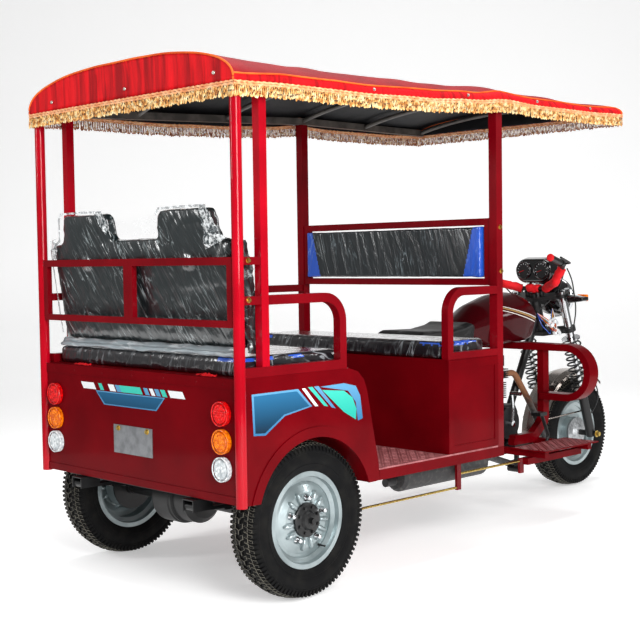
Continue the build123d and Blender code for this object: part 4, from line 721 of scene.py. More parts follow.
def rounded(node, name, body, made, voxel, passes):
    """A copy of a CAD node with its facets run together, as in pressed steel or a plastic moulding."""
    obj = piece(name, copy_of(node), body, made)
    remesh = finish_with(obj, "REMESH", mode="VOXEL", voxel_size=voxel)
    settle(obj, remesh, finish_with(obj, "SMOOTH", factor=0.5, iterations=passes))
    obj.data.shade_smooth()
    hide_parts(node)


rounded("fuel_tank", "tank_shell", "chassis", lacquer, 0.005, 60)
rounded("instrument_console", "console_shell", "steering", gloss_black, 0.004, 34)
rounded("indicators", "indicator_shells", "steering", gloss_black, 0.003, 16)


# Soft parts: a copy of the CAD solid, remeshed, filled out by a cloth simulation, then creased
swell_frames = 20


def softened(node, name, made, voxel, pressure, reach, crease, scale):
    """A padded piece that takes the place of a CAD node: blown up gently, its reach capped, with creases."""
    low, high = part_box(node)
    obj = piece(name, copy_of(node), "chassis", *made)
    middle = (low + high) / 2
    for vert in obj.data.vertices:
        vert.co = middle + (vert.co - middle) * 0.994
    remesh = finish_with(obj, "REMESH", mode="VOXEL", voxel_size=voxel)
    settle(obj, remesh, finish_with(obj, "SMOOTH", factor=0.6, iterations=5))
    start = [vert.co.copy() for vert in obj.data.vertices]
    cloth = finish_with(obj, "CLOTH")
    cloth.settings.use_pressure = True
    cloth.settings.uniform_pressure_force = pressure
    cloth.settings.effector_weights.gravity = 0.0
    cloth.settings.quality = 4
    cloth.collision_settings.use_collision = False
    cloth.point_cache.frame_start = 1
    cloth.point_cache.frame_end = swell_frames
    for number in range(1, swell_frames + 1):
        bpy.context.scene.frame_set(number)
    settle(obj, cloth)
    bpy.context.scene.frame_set(1)
    mesh = obj.data
    normals = [vert.normal.copy() for vert in mesh.vertices]
    for vert, first, normal in zip(mesh.vertices, start, normals):
        move = vert.co - first
        if move.length > reach:
            move = move.normalized() * reach
        spot = first * scale
        drift = Vector((noise.noise(spot * 0.7), noise.noise(spot * 0.9 + Vector((5, 0, 0))), 0))
        ridge = 1 - abs(noise.noise(spot + drift * 0.8)) * 2.2
        move -= normal * crease * (0.55 * max(0.0, ridge) + 0.45 * noise.noise(spot * 0.45))
        place = first + move
        vert.co = [min(max(place[k], low[k]), high[k]) for k in range(3)]
    mesh.shade_smooth()
    finish_with(obj, "SUBSURF", levels=1, render_levels=1)
    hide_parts(node)
    return obj


# Node, piece and finishes; then voxel, pressure, reach, crease depth and crease scale
cushions = [
    softened(f"{end}_seat_cushion", f"{end}_bench_cushion", (seat_film, blue_film), 0.009, 4.0, 0.008, 0.005, 16)
    for end in ("rear", "front")
]
softened("rear_backrest", "rear_bench_backrest", (back_film,), 0.008, 4.0, 0.007, 0.004, 14)
small_back = softened(
    "front_backrest_pad", "front_bench_backrest", (pad_film, blue_film), 0.005, 4.0, 0.005, 0.002, 18
)
softened("driver_saddle", "driver_seat", (saddle_vinyl,), 0.006, 3.0, 0.004, 0.0008, 12)

# The small backrest has slanted blue ends
for face in small_back.data.polygons:
    face.material_index = 1 if abs(face.center.y) > 0.435 + (face.center.z - 1.18) * 0.25 else 0
# The cushions have blue corners, seen where the film lies close along their top edges
for obj in cushions:
    low, high = (pick(vert.co.z for vert in obj.data.vertices) for pick in (min, max))
    for face in obj.data.polygons:
        edge_band = low + 0.7 * (high - low) < face.center.z < high - 0.005 and face.normal.z > 0.2
        shown = edge_band and abs(face.center.y) > 0.42 and noise.noise(face.center * 11) > -0.08
        face.material_index = 1 if shown else 0


# Packing film: a slack sheet across the notch of the backrest, crumpled ends, and a roll along its foot.
# The backrest's hind face: where its foot is, how far it goes back for each metre up, and its end
back_foot_s, back_foot_z, back_lean, back_end = -0.2505, 0.870, 0.1512, 0.531


def on_back(places, off=0.003):
    """Points just behind the rear backrest's hind face, which leans back 8.6 degrees, from (y, z) pairs."""
    return [at(back_foot_s - (z - back_foot_z) * back_lean - off, y, z) for y, z in places]


bm = bmesh.new()
notch_top = on_back(((0.135, 1.318), (0.02, 1.311), (-0.09, 1.328), (-0.165, 1.340)), off=-0.02)
notch_foot = on_back(((0.118, 1.262), (0.03, 1.256), (-0.08, 1.256), (-0.160, 1.268)), off=-0.02)
gather(bm, notch_top, notch_foot, 0.004, hind, 9.0)
film_area = sum(face.calc_area() for face in bm.faces)
notch_film = piece("film_over_notch", bm, "chassis", clear_film)
# Crumpled film at the corners: both edges as (y, z) pairs, how far it stands off, and its seed
crumples = (
    (((-0.400, 1.351), (-0.404, 1.274), (-0.402, 1.203)),
     ((-0.432, 1.351), (-0.482, 1.262), (-0.520, 1.236)), 0.014, 1.0),
    (((0.519, 1.252), (0.524, 1.215), (0.522, 1.172)), ((0.470, 1.256), (0.478, 1.220), (0.490, 1.180)), 0.014, 2.0),
    (((0.205, 1.346), (0.185, 1.302), (0.150, 1.262)), ((0.160, 1.350), (0.140, 1.318), (0.128, 1.285)), 0.008, 3.0),
)  # fmt: skip
# Its frayed edge along the backrest's outline: the outline, how far in its other edge lies, and its seed
left_outline = ((0.533, 0.900), (0.533, 1.05), (0.531, 1.215), (0.462, 1.252), (0.443, 1.330), (0.425, 1.350))
frays = (
    (left_outline + ((0.30, 1.352), (0.175, 1.350)), (0.009, 0.008), 5.0),
    (((-0.155, 1.330), (-0.175, 1.350), (-0.30, 1.352), (-0.42, 1.351)), (0.003, 0.009), 6.0),
)
bm = bmesh.new()
for edge, other, lift, seed in crumples:
    gather(bm, on_back(edge), on_back(other), lift, hind, seed)
for edge, (across, down), seed in frays:
    gather(bm, on_back(edge), on_back([(y - across, z - down) for y, z in edge]), 0.006, hind, seed, 4)
gathered = piece("film_gathers", bm, "chassis", film)
bm = bmesh.new()
edge = [(-0.296, 1.225), (-0.283, 1.147), (-0.270, 1.062), (-0.256, 0.912), (-0.250, 0.862)]
other = [(-0.250, 1.232), (-0.226, 1.150), (-0.210, 1.051), (-0.202, 0.910), (-0.202, 0.855)]
edge, other = ([at(s, -back_end, z) for s, z in places] for places in (edge, other))
gather(bm, edge, other, 0.016, right, 4.0, 12)
end_fold = piece("film_end_fold", bm, "chassis", back_film)
bm = bmesh.new()
for seed, z, ahead, radius in ((0.0, 0.8665, -0.2645, 0.0130), (5.0, 0.8575, -0.2780, 0.0085)):
    sways = [0.003 * noise.noise(Vector((i * 0.3, seed, 0))) for i in range(52)]
    cord_run(bm, [at(ahead, 0.505 - 0.02 * i, z + sway) for i, sway in enumerate(sways)], radius, 14)
rumple(bm, Vector((60, 14, 60)), 0.005)
foot_roll = piece("film_at_foot", bm, "chassis", roll_film)

# Tyres: one cross-ply carcass with its tread blocks, copied to the three wheels.
# Half of the carcass's section, from the bead to the crown, as (along the axle, radius)
half_section = [
    (0.0445, 0.155), (0.0445, 0.1685), (0.0505, 0.1700), (0.0560, 0.1790), (0.0600, 0.1920), (0.0608, 0.1945),
    (0.0597, 0.1960), (0.0618, 0.2050), (0.0625, 0.2150), (0.0617, 0.2260), (0.0600, 0.2340), (0.0612, 0.2360),
    (0.0590, 0.2440), (0.0550, 0.2510), (0.0490, 0.2570), (0.0400, 0.2605), (0.0250, 0.2635), (0.0080, 0.2648),
]  # fmt: skip
pitch_count = 46
pitch_angle = tau / pitch_count
block_high, belt_radius = 0.011, 0.257
# One side's blocks in one pitch as (along, pitch share) corners: a zig-zag centre block, two inner ones and two
# shoulder lugs
half_tread = (
    ((0.0015, 0.04), (0.017, 0.22), (0.017, 0.66), (0.0015, 0.50)),
    ((0.0200, 0.06), (0.036, -0.08), (0.036, 0.34), (0.0200, 0.48)),
    ((0.0200, 0.56), (0.036, 0.42), (0.036, 0.84), (0.0200, 0.98)),
    ((0.0385, -0.06), (0.046, -0.12), (0.0560, -0.10), (0.0560, 0.18), (0.046, 0.16), (0.0385, 0.22)),
    ((0.0385, 0.44), (0.046, 0.38), (0.0560, 0.40), (0.0560, 0.68), (0.046, 0.66), (0.0385, 0.72)),
)


def tread_pitch():
    """The tread blocks of one pitch, with pale bevelled edges: partly dust, partly painted highlight."""
    bm = bmesh.new()
    shapes = list(half_tread) + [[(-along, share + 0.5) for along, share in reversed(shape)] for shape in half_tread]
    for shape in shapes:
        top, foot = [], []
        for along, share in shape:
            crest = tyre_radius - 0.0003 - 0.0105 * (abs(along) / 0.047) ** 2 * (1 if abs(along) < 0.05 else 0.92)
            for radius, ring in ((crest, top), (crest - block_high, foot)):
                ring.append(bm.verts.new(round_axle(radius, share * pitch_angle, along)))
        bm.faces.new(top)
        for k in range(len(shape)):
            after = (k + 1) % len(shape)
            bm.faces.new((top[k], foot[k], foot[after], top[after]))
    # Lugs that run down the shoulder on to the sidewall
    for side in (-1, 1):
        for share in (0.06, 0.56)[::side]:
            corners = []
            for radius, along in ((0.2635, 0.0553), (0.2520, 0.0592), (0.2425, 0.0620)):
                for swing in (-0.13, 0.13):
                    angle = (share + swing) * pitch_angle
                    corners.append(bm.verts.new(round_axle(radius, angle, side * along)))
                    corners.append(bm.verts.new(round_axle(radius - 0.004, angle, side * (along - 0.006))))
            for k in (0, 4):
                a, a2, b, b2, c, c2, d, d2 = corners[k : k + 8]
                for face in ((a, b, d, c), (a, c, c2, a2), (b, b2, d2, d)):
                    bm.faces.new(face)
            for face in ((0, 1, 3, 2), (8, 10, 11, 9)):
                bm.faces.new([corners[k] for k in face])
    bmesh.ops.recalc_face_normals(bm, faces=bm.faces)
    outer = [edge for edge in bm.edges if all(vert.co.xz.length > belt_radius for vert in edge.verts)]
    # The outer edges' bevels take the pale edge colour: partly dust, partly painted highlight
    pale_bevel = bmesh.ops.bevel(bm, geom=outer, offset=0.0013, affect="EDGES", segments=1, profile=0.5, material=-1)
    for face in pale_bevel["faces"]:
        face.material_index = 1
    return mesh_of(bm, "tread")


bm = bmesh.new()
section = half_section + [(-along, radius) for along, radius in reversed(half_section)] + half_section[:1]
spun(bm, section, (0, 0, 0), (0, 1, 0), 104)
pitch_mesh = tread_pitch()
for number in range(pitch_count):
    stamp(bm, pitch_mesh, Matrix.Rotation(number * pitch_angle, 4, "Y"))
bpy.data.meshes.remove(pitch_mesh)
tyre_mesh = mesh_of(bm, "block_tyre")
wheels = (
    ("rear_tyre_right", "rear_wheel_right", -1),
    ("rear_tyre_left", "rear_wheel_left", 1),
    ("front_tyre", "front_wheel", 1),
)
for node, body, side in wheels:
    low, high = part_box(node)
    bm = bmesh.new()
    bm.from_mesh(tyre_mesh)
    place = Matrix.Translation((low + high) / 2) @ Matrix.Rotation(0.4 * side, 4, "Y")
    bmesh.ops.transform(bm, matrix=place, verts=bm.verts)
    tyre = piece(node + "_rubber", bm, body, rubber, dusty_highlit_rubber)
    tyre.data.set_sharp_from_angle(angle=radians(40))
    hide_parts(node)
bpy.data.meshes.remove(tyre_mesh)

# Black hub caps with their ring of bolts, pressed ribs and domed wheel nuts on the discs, and the valves
hub_cap = [(0.0655, 0.0), (0.0655, 0.018), (0.0625, 0.0275), (0.0520, 0.0345)]
hub_cap += [(0.0500, 0.0545), (0.0470, 0.0590), (0.0340, 0.0600)]
domed_nut = [(0.0, 0.014), (0.004, 0.0135), (0.006, 0.0105), (0.021, 0.0095), (0.026, 0.006), (0.0275, 0.0)]
valve = [(0.0, 0.0045), (0.012, 0.004), (0.014, 0.003), (0.03, 0.003), (0.031, 0.0036), (0.036, 0.0034), (0.036, 0.0)]
nut_reach, rib_reach, nut_count = 0.078, 0.083, 5
disc_face = 0.041  # how far out the disc's own metal comes


def nut_at(away):
    """Whether a place on the disc, measured from the wheel's centre, is on one of its wheel nuts."""
    turn = atan2(away.x, away.z) / tau * nut_count
    on_ring = abs(away.xz.length - nut_reach) < 0.015
    return abs(away.y) > disc_face and on_ring and abs(turn - round(turn)) < 0.16


for side, name in two_sides:
    body, outward = "rear_wheel_" + name, (0, side, 0)
    centre = Vector((rear_axle.x, side * abs(rear_axle.y), tyre_radius))
    bm = bmesh.new()
    spun(bm, hub_cap, centre, outward, 40)
    piece("hub_cap_" + name, bm, body, matt_black).data.set_sharp_from_angle(angle=radians(35))
    bm = bmesh.new()
    for number in range(8):
        add_bolt(bm, centre + round_axle(0.0455, tau * (number + 0.5) / 8, side * 0.05), outward, 0.010, 0.006)
    add_bolt(bm, centre + Vector((0, side * 0.0655, 0)), outward, 0.02, 0.012)
    piece("wheel_nuts_" + name, bm, body, black_paint, smooth=False)
    bm = bmesh.new()
    for number in range(nut_count * 3):
        angle = tau * number / (nut_count * 3)
        spot = centre + round_axle(rib_reach if number % 3 else nut_reach, angle, side * 0.0375)
        if number % 3:
            rib = Matrix.Translation(spot) @ Matrix.Rotation(angle, 4, "Y") @ Matrix.Diagonal((0.0095, 0.016, 0.024, 1))
            bmesh.ops.create_icosphere(bm, subdivisions=3, radius=1.0, matrix=rib)
        else:
            spun(bm, domed_nut, spot, outward, 14, (1, 0, 0))
    for face in bm.faces:
        face.material_index = 1 if nut_at(face.calc_center_median() - centre) else 0
    piece("disc_ribs_" + name, bm, body, wheel_silver, chrome)
    bm = bmesh.new()
    spun(bm, valve, centre + Vector((0.07, side * 0.024, -0.1)), outward, 12)
    piece("valve_" + name, bm, body, matt_black)

# Tail lamps: moulded rays behind a thin rim of the lens's own colour
lamp_rim = [(0.005, 0.0412), (0.0, 0.0412), (-0.001, 0.0400), (-0.0008, 0.0382), (0.002, 0.0375)]
for colour, made in (("red", lens_red), ("amber", lens_amber), ("white", lens_clear)):
    low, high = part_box("tail_lamps_" + colour)
    bm = bmesh.new()
    for y in (low.y + 0.041, high.y - 0.041):
        spot = Vector((low.x, y, (low.z + high.z) / 2))
        spun(bm, lamp_rim, spot, (1, 0, 0), 40)
        for number in range(3):
            rays, reach = 8 + 6 * number, 0.0095 + 0.0095 * number
            for k in range(rays):
                angle = tau * (k + 0.5 * number) / rays
                place = Matrix.Translation(spot + Vector((0.0006, reach * sin(angle), reach * cos(angle))))
                place = place @ Matrix.Rotation(-angle, 4, "X") @ Matrix.Diagonal((0.0018, 0.0030, 0.0044, 1))
                bmesh.ops.create_icosphere(bm, subdivisions=1, radius=1.0, matrix=place)
    piece("lamp_prisms_" + colour, bm, "chassis", made)


# Printed stripes on the side panels and the tail: flat shapes just proud of the paint
def decal(name, shapes, place):
    """Thin sticker shapes; each is (outline, colour's number), and place turns its points into the frame's."""
    bm = bmesh.new()
    for layer, (outline, number) in enumerate(shapes):
        face = bm.faces.new([bm.verts.new(place(a, b, layer)) for a, b in outline])
        face.material_index = number
    bmesh.ops.triangulate(bm, faces=bm.faces)
    colours = (blue_print, white_print, teal_print, deep_print, blue_print)
    piece(name, bm, "chassis", *colours[: 1 + max(number for _, number in shapes)], smooth=False, recalc=False)


side_shapes = [
    ([(-0.267, 0.729), (-0.058, 0.730), (0.007, 0.666), (-0.120, 0.645), (-0.174, 0.611), (-0.209, 0.589),
      (-0.261, 0.593)], 0),
    ([(-0.258, 0.722), (-0.064, 0.723), (-0.006, 0.668), (-0.124, 0.650), (-0.178, 0.617), (-0.211, 0.597),
      (-0.253, 0.600)], 3),
    ([(-0.041, 0.730), (-0.025, 0.730), (0.036, 0.664), (0.021, 0.664)], 1),
    ([(-0.012, 0.732), (0.009, 0.732), (0.084, 0.658), (0.064, 0.662)], 2),
    ([(0.016, 0.732), (0.038, 0.732), (0.120, 0.648), (0.101, 0.653)], 0),
    ([(0.045, 0.729), (0.162, 0.732), (0.222, 0.718), (0.244, 0.682), (0.256, 0.600), (0.231, 0.594),
      (0.221, 0.661), (0.183, 0.704)], 0),
    ([(0.055, 0.717), (0.162, 0.706), (0.205, 0.678), (0.224, 0.637), (0.221, 0.599), (0.160, 0.632)], 2),
]  # fmt: skip
for side, name in two_sides:
    decal(
        "side_stripes_" + name,
        side_shapes,
        lambda a, b, layer: at(a, side * (body_half + 0.0006 + 0.00012 * layer), b),
    )

# The tail's row of slanted stripes as (left, right, colour's number), over its bare panel
tail_stripes = (
    (0.324, 0.242, 1), (0.214, 0.192, 2), (0.153, 0.117, 1), (0.110, 0.080, 0), (0.083, -0.043, 2),
    (-0.060, -0.084, 0), (-0.095, -0.116, 1), (-0.124, -0.148, 0), (-0.158, -0.184, 2), (-0.201, -0.282, 1),
)  # fmt: skip
stripe_top, stripe_foot, stripe_slant = 0.723, 0.699, 0.016
tail_shapes = [
    (
        [
            (left, stripe_top),
            (right, stripe_top),
            (right - stripe_slant, stripe_foot),
            (left - stripe_slant, stripe_foot),
        ],
        number,
    )
    for left, right, number in tail_stripes
]
tail_shapes.append(([(0.228, 0.696), (-0.186, 0.696), (-0.136, 0.647), (0.177, 0.647)], 4))
tail_shapes.append(([(0.220, 0.692), (-0.176, 0.692), (-0.131, 0.651), (0.171, 0.651)], 3))
decal("tail_stripes", tail_shapes, lambda a, b, layer: Vector((tail_x - 0.0007 - 0.0001 * layer, a, b)))

# Chequer pattern of raised bars on the passenger floor and the foot plates
bar_pitch = 0.024
bm = bmesh.new()
bmesh.ops.create_cube(bm, size=1.0, matrix=Matrix.Diagonal((0.019, 0.0042, 0.0018, 1)))
top_edges = [edge for edge in bm.edges if all(vert.co.z > 0 for vert in edge.verts)]
bmesh.ops.bevel(bm, geom=top_edges, offset=0.0008, affect="EDGES", segments=1, profile=0.5, material=-1)
bar_mesh = mesh_of(bm, "bar")
low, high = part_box("floor_deck")
plates = [(low.x + 0.012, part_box("front_seat_box")[0].x - 0.01, low.y + 0.012, high.y - 0.012, high.z)]
foot_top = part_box("foot_plates")[1].z
plates += [(at(1.478).x, at(1.872).x, *sorted((side * 0.328, side * 0.5)), foot_top) for side in (-1, 1)]
bm = bmesh.new()
for x0, x1, y0, y1, z in plates:
    count_x, count_y = int((x1 - x0) / bar_pitch), int((y1 - y0) / bar_pitch)
    for i in range(count_x):
        for j in range(count_y):
            spot = Vector((x0 + (i + 0.5) * (x1 - x0) / count_x, y0 + (j + 0.5) * (y1 - y0) / count_y, z + 0.0007))
            slant = radians(45 if (i + j) % 2 else -45)
            stamp(bm, bar_mesh, Matrix.Translation(spot) @ Matrix.Rotation(slant, 4, "Z"))
bpy.data.meshes.remove(bar_mesh)
piece("floor_chequer", bm, "chassis", floor_paint, smooth=False, recalc=False)

# Bolts and screws in sight on the body
bm = bmesh.new()
for s, z in ((1.067, 1.283), (1.072, 1.108), (-0.272, 1.164), (-0.272, 1.036)):
    for side in (-1, 1):
        add_bolt(bm, at(s, side * body_half, z), (0, side, 0), 0.012, 0.006)
for y in (0.09, -0.08):
    add_bolt(bm, at(-0.3225, y, 0.569), hind, 0.013, 0.005)
piece("body_bolts", bm, "chassis", yellow_zinc, smooth=False)
bm = bmesh.new()
screws = [(y, 0.764, 0.0032, 0.0052, 0.0022) for y in (-0.5, -0.36, -0.18, 0.0, 0.18, 0.36, 0.5)]
screws += [(y, z, 0.0, 0.0048, 0.002) for y in (-0.545, 0.545) for z in (0.71, 0.55, 0.42)]
for y, z, proud, radius, high in screws:
    add_cone(bm, Matrix.Translation((tail_x - proud, y, z)) @ turn_to(hind), radius, 0.003, high, 14)
piece("tail_screws", bm, "chassis", enamel)

# Nuts of the front axle and on top of the fork's legs
bm = bmesh.new()
for side in (-1, 1):
    add_bolt(bm, front_axle + Vector((0, side * 0.170, 0)), (0, side, 0), 0.021, 0.014)
piece("front_axle_nuts", bm, "steering", yellow_zinc, smooth=False)
bm = bmesh.new()
for side in (-1, 1):
    head = Vector((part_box("steering_yoke")[1].x - 0.052, side * 0.133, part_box("fork_legs")[1].z))
    add_bolt(bm, head - Vector(fork_rake) * 0.004, fork_rake, 0.024, 0.008)
piece("fork_top_nuts", bm, "steering", chrome, smooth=False)

# Headlight: chrome rim and a clear fluted lens
headlight_at = at(2.262, 0, 0.958)
chrome_rim = [(0.016, 0.0945), (0.018, 0.0985), (0.034, 0.0992), (0.042, 0.0965), (0.0445, 0.0905), (0.040, 0.088)]
glass = [(0.039, 0.089), (0.047, 0.079), (0.056, 0.058), (0.062, 0.032), (0.0645, 0.0)]
for name, profile, made in (("headlight_rim", chrome_rim, chrome), ("headlight_lens", glass, lens_clear)):
    bm = bmesh.new()
    spun(bm, profile, headlight_at, (1, 0, 0), 56)
    piece(name, bm, "steering", made)


# Two round gauges set in the console's back, their dials blank but for marks and needles
def add_mark(bm, centre, degrees, reach, size, number):
    """A mark or needle on a dial, turned about its centre, in one of the dial's colours."""
    place = Matrix.Translation(centre) @ Matrix.Rotation(radians(degrees), 4, "X") @ raised(reach)
    made = bmesh.ops.create_cube(bm, size=1.0, matrix=place @ Matrix.Diagonal((*size, 1)))
    for face in {face for vert in made["verts"] for face in vert.link_faces}:
        face.material_index = number


gauge_ring = [(0.0, 0.0435), (-0.006, 0.0435), (-0.009, 0.041), (-0.0085, 0.0385), (-0.002, 0.0375)]
for number, y in enumerate((-0.052, 0.052)):
    gauge = at(2.0895, y, 1.096)
    bm = bmesh.new()
    spun(bm, gauge_ring, gauge, (1, 0, 0), 40)
    piece(f"gauge_ring_{number}", bm, "steering", gloss_black)
    bm = bmesh.new()
    spun(bm, [(-0.002, 0.0385), (-0.0025, 0.0)], gauge, (1, 0, 0), 40)
    for k in range(11):
        add_mark(bm, gauge + Vector((-0.0032, 0, 0)), -125 + 25 * k, 0.032, (0.0008, 0.0014, 0.006), 1)
    add_mark(bm, gauge + Vector((-0.0042, 0, 0)), -110, 0.012, (0.001, 0.0016, 0.03), 2)
    piece(f"gauge_dial_{number}", bm, "steering", matt_black, white_print, lens_red, smooth=False)

# Indicator lenses on the lamps' front faces
low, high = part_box("indicators")
for side, name in two_sides:
    bm = bmesh.new()
    middle = Vector((high.x - 0.004, side * (high.y - 0.040), ((low + high) / 2).z + 0.004))
    add_block(bm, middle, (0.014, 0.062, 0.034), 0.006)
    piece("indicator_lens_" + name, bm, "steering", lens_amber)

# Red foam sleeves with a wrinkled skin: one on each of the handlebar's rising parts and one in its middle
sleeve_radius, sleeve_sides, sleeve_steps, skin_grain = 0.0205, 18, 24, 70
inner_end, bend, knee = at(2.098, 0.070, 1.007), at(2.018, 0.180, 1.034), at(2.012, 0.233, 1.124)
for side, name in two_sides:
    line = []
    for k in range(sleeve_steps + 1):
        # It ends short of the knee
        share = k / sleeve_steps * 1.8
        spot = inner_end.lerp(bend, share) if share <= 1 else bend.lerp(knee, share - 1)
        line.append(Vector((spot.x, side * spot.y, spot.z + 0.006 * sin(pi * k / sleeve_steps))))
    bm = bmesh.new()
    cord_run(bm, line, sleeve_radius, sleeve_sides)
    rumple(bm, skin_grain, 0.0045)
    piece("handlebar_sleeve_" + name, bm, "steering", red_foam)
bm = bmesh.new()
line = [at(2.0985, -0.034 + 0.0068 * k, 1.007 + 0.002 * sin(k)) for k in range(11)]
cord_run(bm, line, sleeve_radius, sleeve_sides)
rumple(bm, skin_grain, 0.006)
piece("handlebar_sleeve_middle", bm, "steering", red_foam)

# Red end caps of the grips
bm = bmesh.new()
grip_cap = [(0.152, 0.0), (0.152, 0.0172), (0.160, 0.0178), (0.164, 0.0150), (0.1645, 0.0)]
grip_way = Vector((-0.123, 0.024, 0.028)).normalized()
for side in (-1, 1):
    mirrored = Vector((1, side, 1))
    way = grip_way * mirrored
    spun(bm, grip_cap, knee * mirrored, way, 18, way.orthogonal().normalized())
piece("grip_ends", bm, "steering", red_foam)

# Cables of the steering head: control points as (ahead, y, z)
cable_radius, wire_radius = 0.0033, 0.0021
brake_cable = (
    (2.035, -0.236, 1.105), (2.075, -0.236, 1.060), (2.118, -0.220, 0.985), (2.136, -0.220, 0.905),
    (2.125, -0.212, 0.825), (2.150, -0.190, 0.770), (2.230, -0.186, 0.690), (2.330, -0.190, 0.560),
    (2.430, -0.160, 0.460), (2.455, -0.110, 0.380), (2.420, -0.085, 0.330),
)  # fmt: skip
clutch_cable = (
    (2.035, 0.236, 1.105), (2.090, 0.220, 1.060), (2.135, 0.170, 0.985), (2.120, 0.090, 0.930), (2.090, 0.035, 0.900),
)  # fmt: skip
throttle_cable = (
    (2.035, -0.225, 1.100), (2.090, -0.180, 1.080), (2.150, -0.110, 1.000), (2.130, -0.055, 0.930),
    (2.085, -0.035, 0.900),
)  # fmt: skip


def pipe(name, points, radius, made):
    """A round cord on the steering along a smooth line through its control points."""
    curve = bpy.data.curves.new(name, "CURVE")
    curve.dimensions = "3D"
    line = curve.splines.new("NURBS")
    line.points.add(len(points) - 1)
    for spot, place in zip(line.points, points):
        spot.co = (*place, 1.0)
    line.order_u = 3
    line.use_endpoint_u = True
    line.resolution_u = 6
    curve.bevel_depth = radius
    curve.bevel_resolution = 2
    curve.use_fill_caps = True
    curve.materials.append(made)
    obj = placed(name, curve)
    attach(obj, "steering")
    return obj


def flexing(name, points, radius, made):
    """A cable or wire as a mesh of its own, made from a smooth line through its control points."""
    curve = pipe(name + "_line", points, radius, made)
    bpy.context.view_layer.update()
    mesh = bpy.data.meshes.new_from_object(curve.evaluated_get(bpy.context.evaluated_depsgraph_get()))
    bpy.data.objects.remove(curve)
    obj = placed(name, mesh)
    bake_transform(obj)


pipe("front_brake_cable", [at(*point) for point in brake_cable], cable_radius, matt_black)
for name, points in (("clutch_cable", clutch_cable), ("throttle_cable", throttle_cable)):
    line = [at(*point) for point in points]
    flexing(name, line, cable_radius, matt_black)

# The wiring behind the headlight: loops of wire in seven colours, and their connectors
wire_colours = (white_print, blue_film, red_foam, matt_black, piping, teal_print, yellow_wire)
for number in range(14):
    draw = random.Random(number).uniform
    x, y, z = Vector((2.130 + draw(-0.035, 0.035), -0.085 + draw(-0.02, 0.02), 0.822 + draw(-0.025, 0.02)))
    line = [at(2.085, -0.03, 0.885), at(x - 0.035, y + 0.01, z + 0.028), at(x, y, z)]
    line += [at(x + 0.014, y - 0.012, z - 0.024), at(x + 0.03, y, z + 0.012), at(2.190, -0.045, 0.905)]
    flexing(f"wire_{number}", line, wire_radius, wire_colours[number % 7])
bm = bmesh.new()
for number in range(11):
    draw = random.Random(number + 20).uniform
    spot = at(2.128 + draw(-0.040, 0.040), -0.095 + draw(-0.016, 0.018), 0.822 + draw(-0.036, 0.036))
    turn = Matrix.Rotation(draw(-1, 1), 4, "Y") @ Matrix.Rotation(draw(-0.6, 0.6), 4, "X")
    add_block(bm, spot, (draw(0.018, 0.028), 0.013, 0.015), 0.0012, turn)
piece("wire_connectors", bm, "steering", white_print)

# Ribbons that tie the cushions down: small flat knots lying at the cushions' feet
bm = bmesh.new()
for middle in (at(-0.302, 0.338, 0.782), at(-0.302, -0.385, 0.782), at(1.034, 0.30, 0.779), at(1.034, -0.30, 0.779)):
    for reach, turn in ((0.052, 0.25), (0.050, -0.2), (0.028, 1.2)):
        way = Vector((0.14 * turn, 1, 0)).normalized() * reach
        broad = Vector((0.008, 0, 0.002 + 0.002 * turn))
        edge = [middle - way - broad * 0.6, middle - broad * 1.2, middle + way - broad * 0.5]
        other = [middle - way + broad * 0.7, middle + broad * 0.9, middle + way + broad * 0.6]
        gather(bm, edge, other, 0.010, upward, 3 * turn, 5)
ties = piece("cushion_ties", bm, "chassis", red_foam)
finish_with(ties, "SOLIDIFY", thickness=0.001)

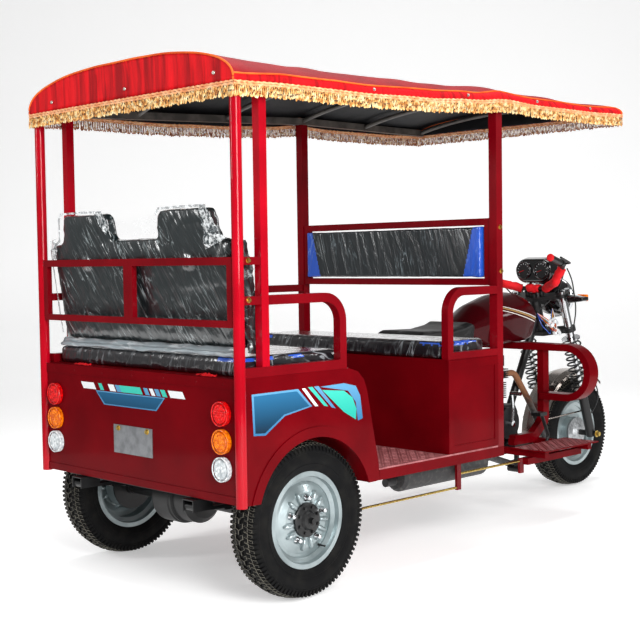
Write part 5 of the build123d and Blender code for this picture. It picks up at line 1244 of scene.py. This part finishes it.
# Studio: a pale sweep under and behind the vehicle, in line with the camera
heading = radians(45.284)
along, across = Vector((cos(heading), sin(heading), 0)), Vector((-sin(heading), cos(heading), 0))
sweep_section = ((-6.0, 0.0), (6.5, 0.0), (7.2, 0.12), (7.8, 0.5), (8.1, 1.2), (8.2, 6.0))
bm = bmesh.new()
rows = []
for distance, height in sweep_section:
    reach = 3.4 + 0.25 * max(0.0, distance)
    rows.append([bm.verts.new(along * distance + across * wide + upward * height) for wide in (-reach, reach)])
skin(bm, rows)
bmesh.ops.recalc_face_normals(bm, faces=bm.faces)
sweep_mesh = mesh_of(bm, "studio_sweep")
sweep_mesh.shade_smooth()
glow = {"Emission Color": (1, 1, 1, 1), "Emission Strength": 0.38}
sweep_mesh.materials.append(finish_of("studio_white", "#f2f2f2", 0.9, more=glow)[0])
placed("studio_sweep", sweep_mesh)


def soft_light(name, place, aim, wide, high, power):
    """A large soft area light."""
    data = bpy.data.lights.new(name, "AREA")
    data.shape = "RECTANGLE"
    data.size, data.size_y = wide, high
    data.energy = power
    lamp = placed(name, data)
    lamp.location = place
    lamp.rotation_euler = (Vector(aim) - Vector(place)).to_track_quat("-Z", "Y").to_euler()


soft_light("key_light", (-2.9, -4.9, 2.6), (-0.3, 0, 0.9), 2.0, 3.3, 340)
soft_light("tail_light", (-4.8, 2.4, 2.5), (-1.3, 0, 1.3), 0.6, 1.6, 60)
soft_light("top_light", (0.0, 0.0, 5.2), (0, 0, 0), 4.0, 3.0, 190)
soft_light("side_light", (3.6, -4.0, 3.2), (0.6, 0, 0.8), 0.7, 1.6, 50)
scene = bpy.context.scene
scene.world = bpy.data.worlds.new("pale_sky")
scene.world.use_nodes = True
sky = scene.world.node_tree.nodes["Background"].inputs
sky["Color"].default_value = (1.0, 1.0, 1.0, 1.0)
sky["Strength"].default_value = 0.22
scene.view_settings.view_transform = "Standard"

# The camera fitted to the photograph: place, then its right, up and back directions
camera_data = bpy.data.cameras.new("camera")
camera_data.lens = 69.25
camera_data.sensor_width = 36
drop, roll = radians(2.8183), radians(-0.8081)
forward = along * cos(drop) - upward * sin(drop)
level = -across
upright = level.cross(forward)
camera_right = level * cos(roll) + upright * sin(roll)
camera_up = upright * cos(roll) - level * sin(roll)
turn = Matrix((camera_right, camera_up, -forward)).transposed().to_4x4()
scene.camera = placed("camera", camera_data)
scene.camera.matrix_world = Matrix.Translation(at(-2.9049, -3.5575, 1.1644)) @ turn
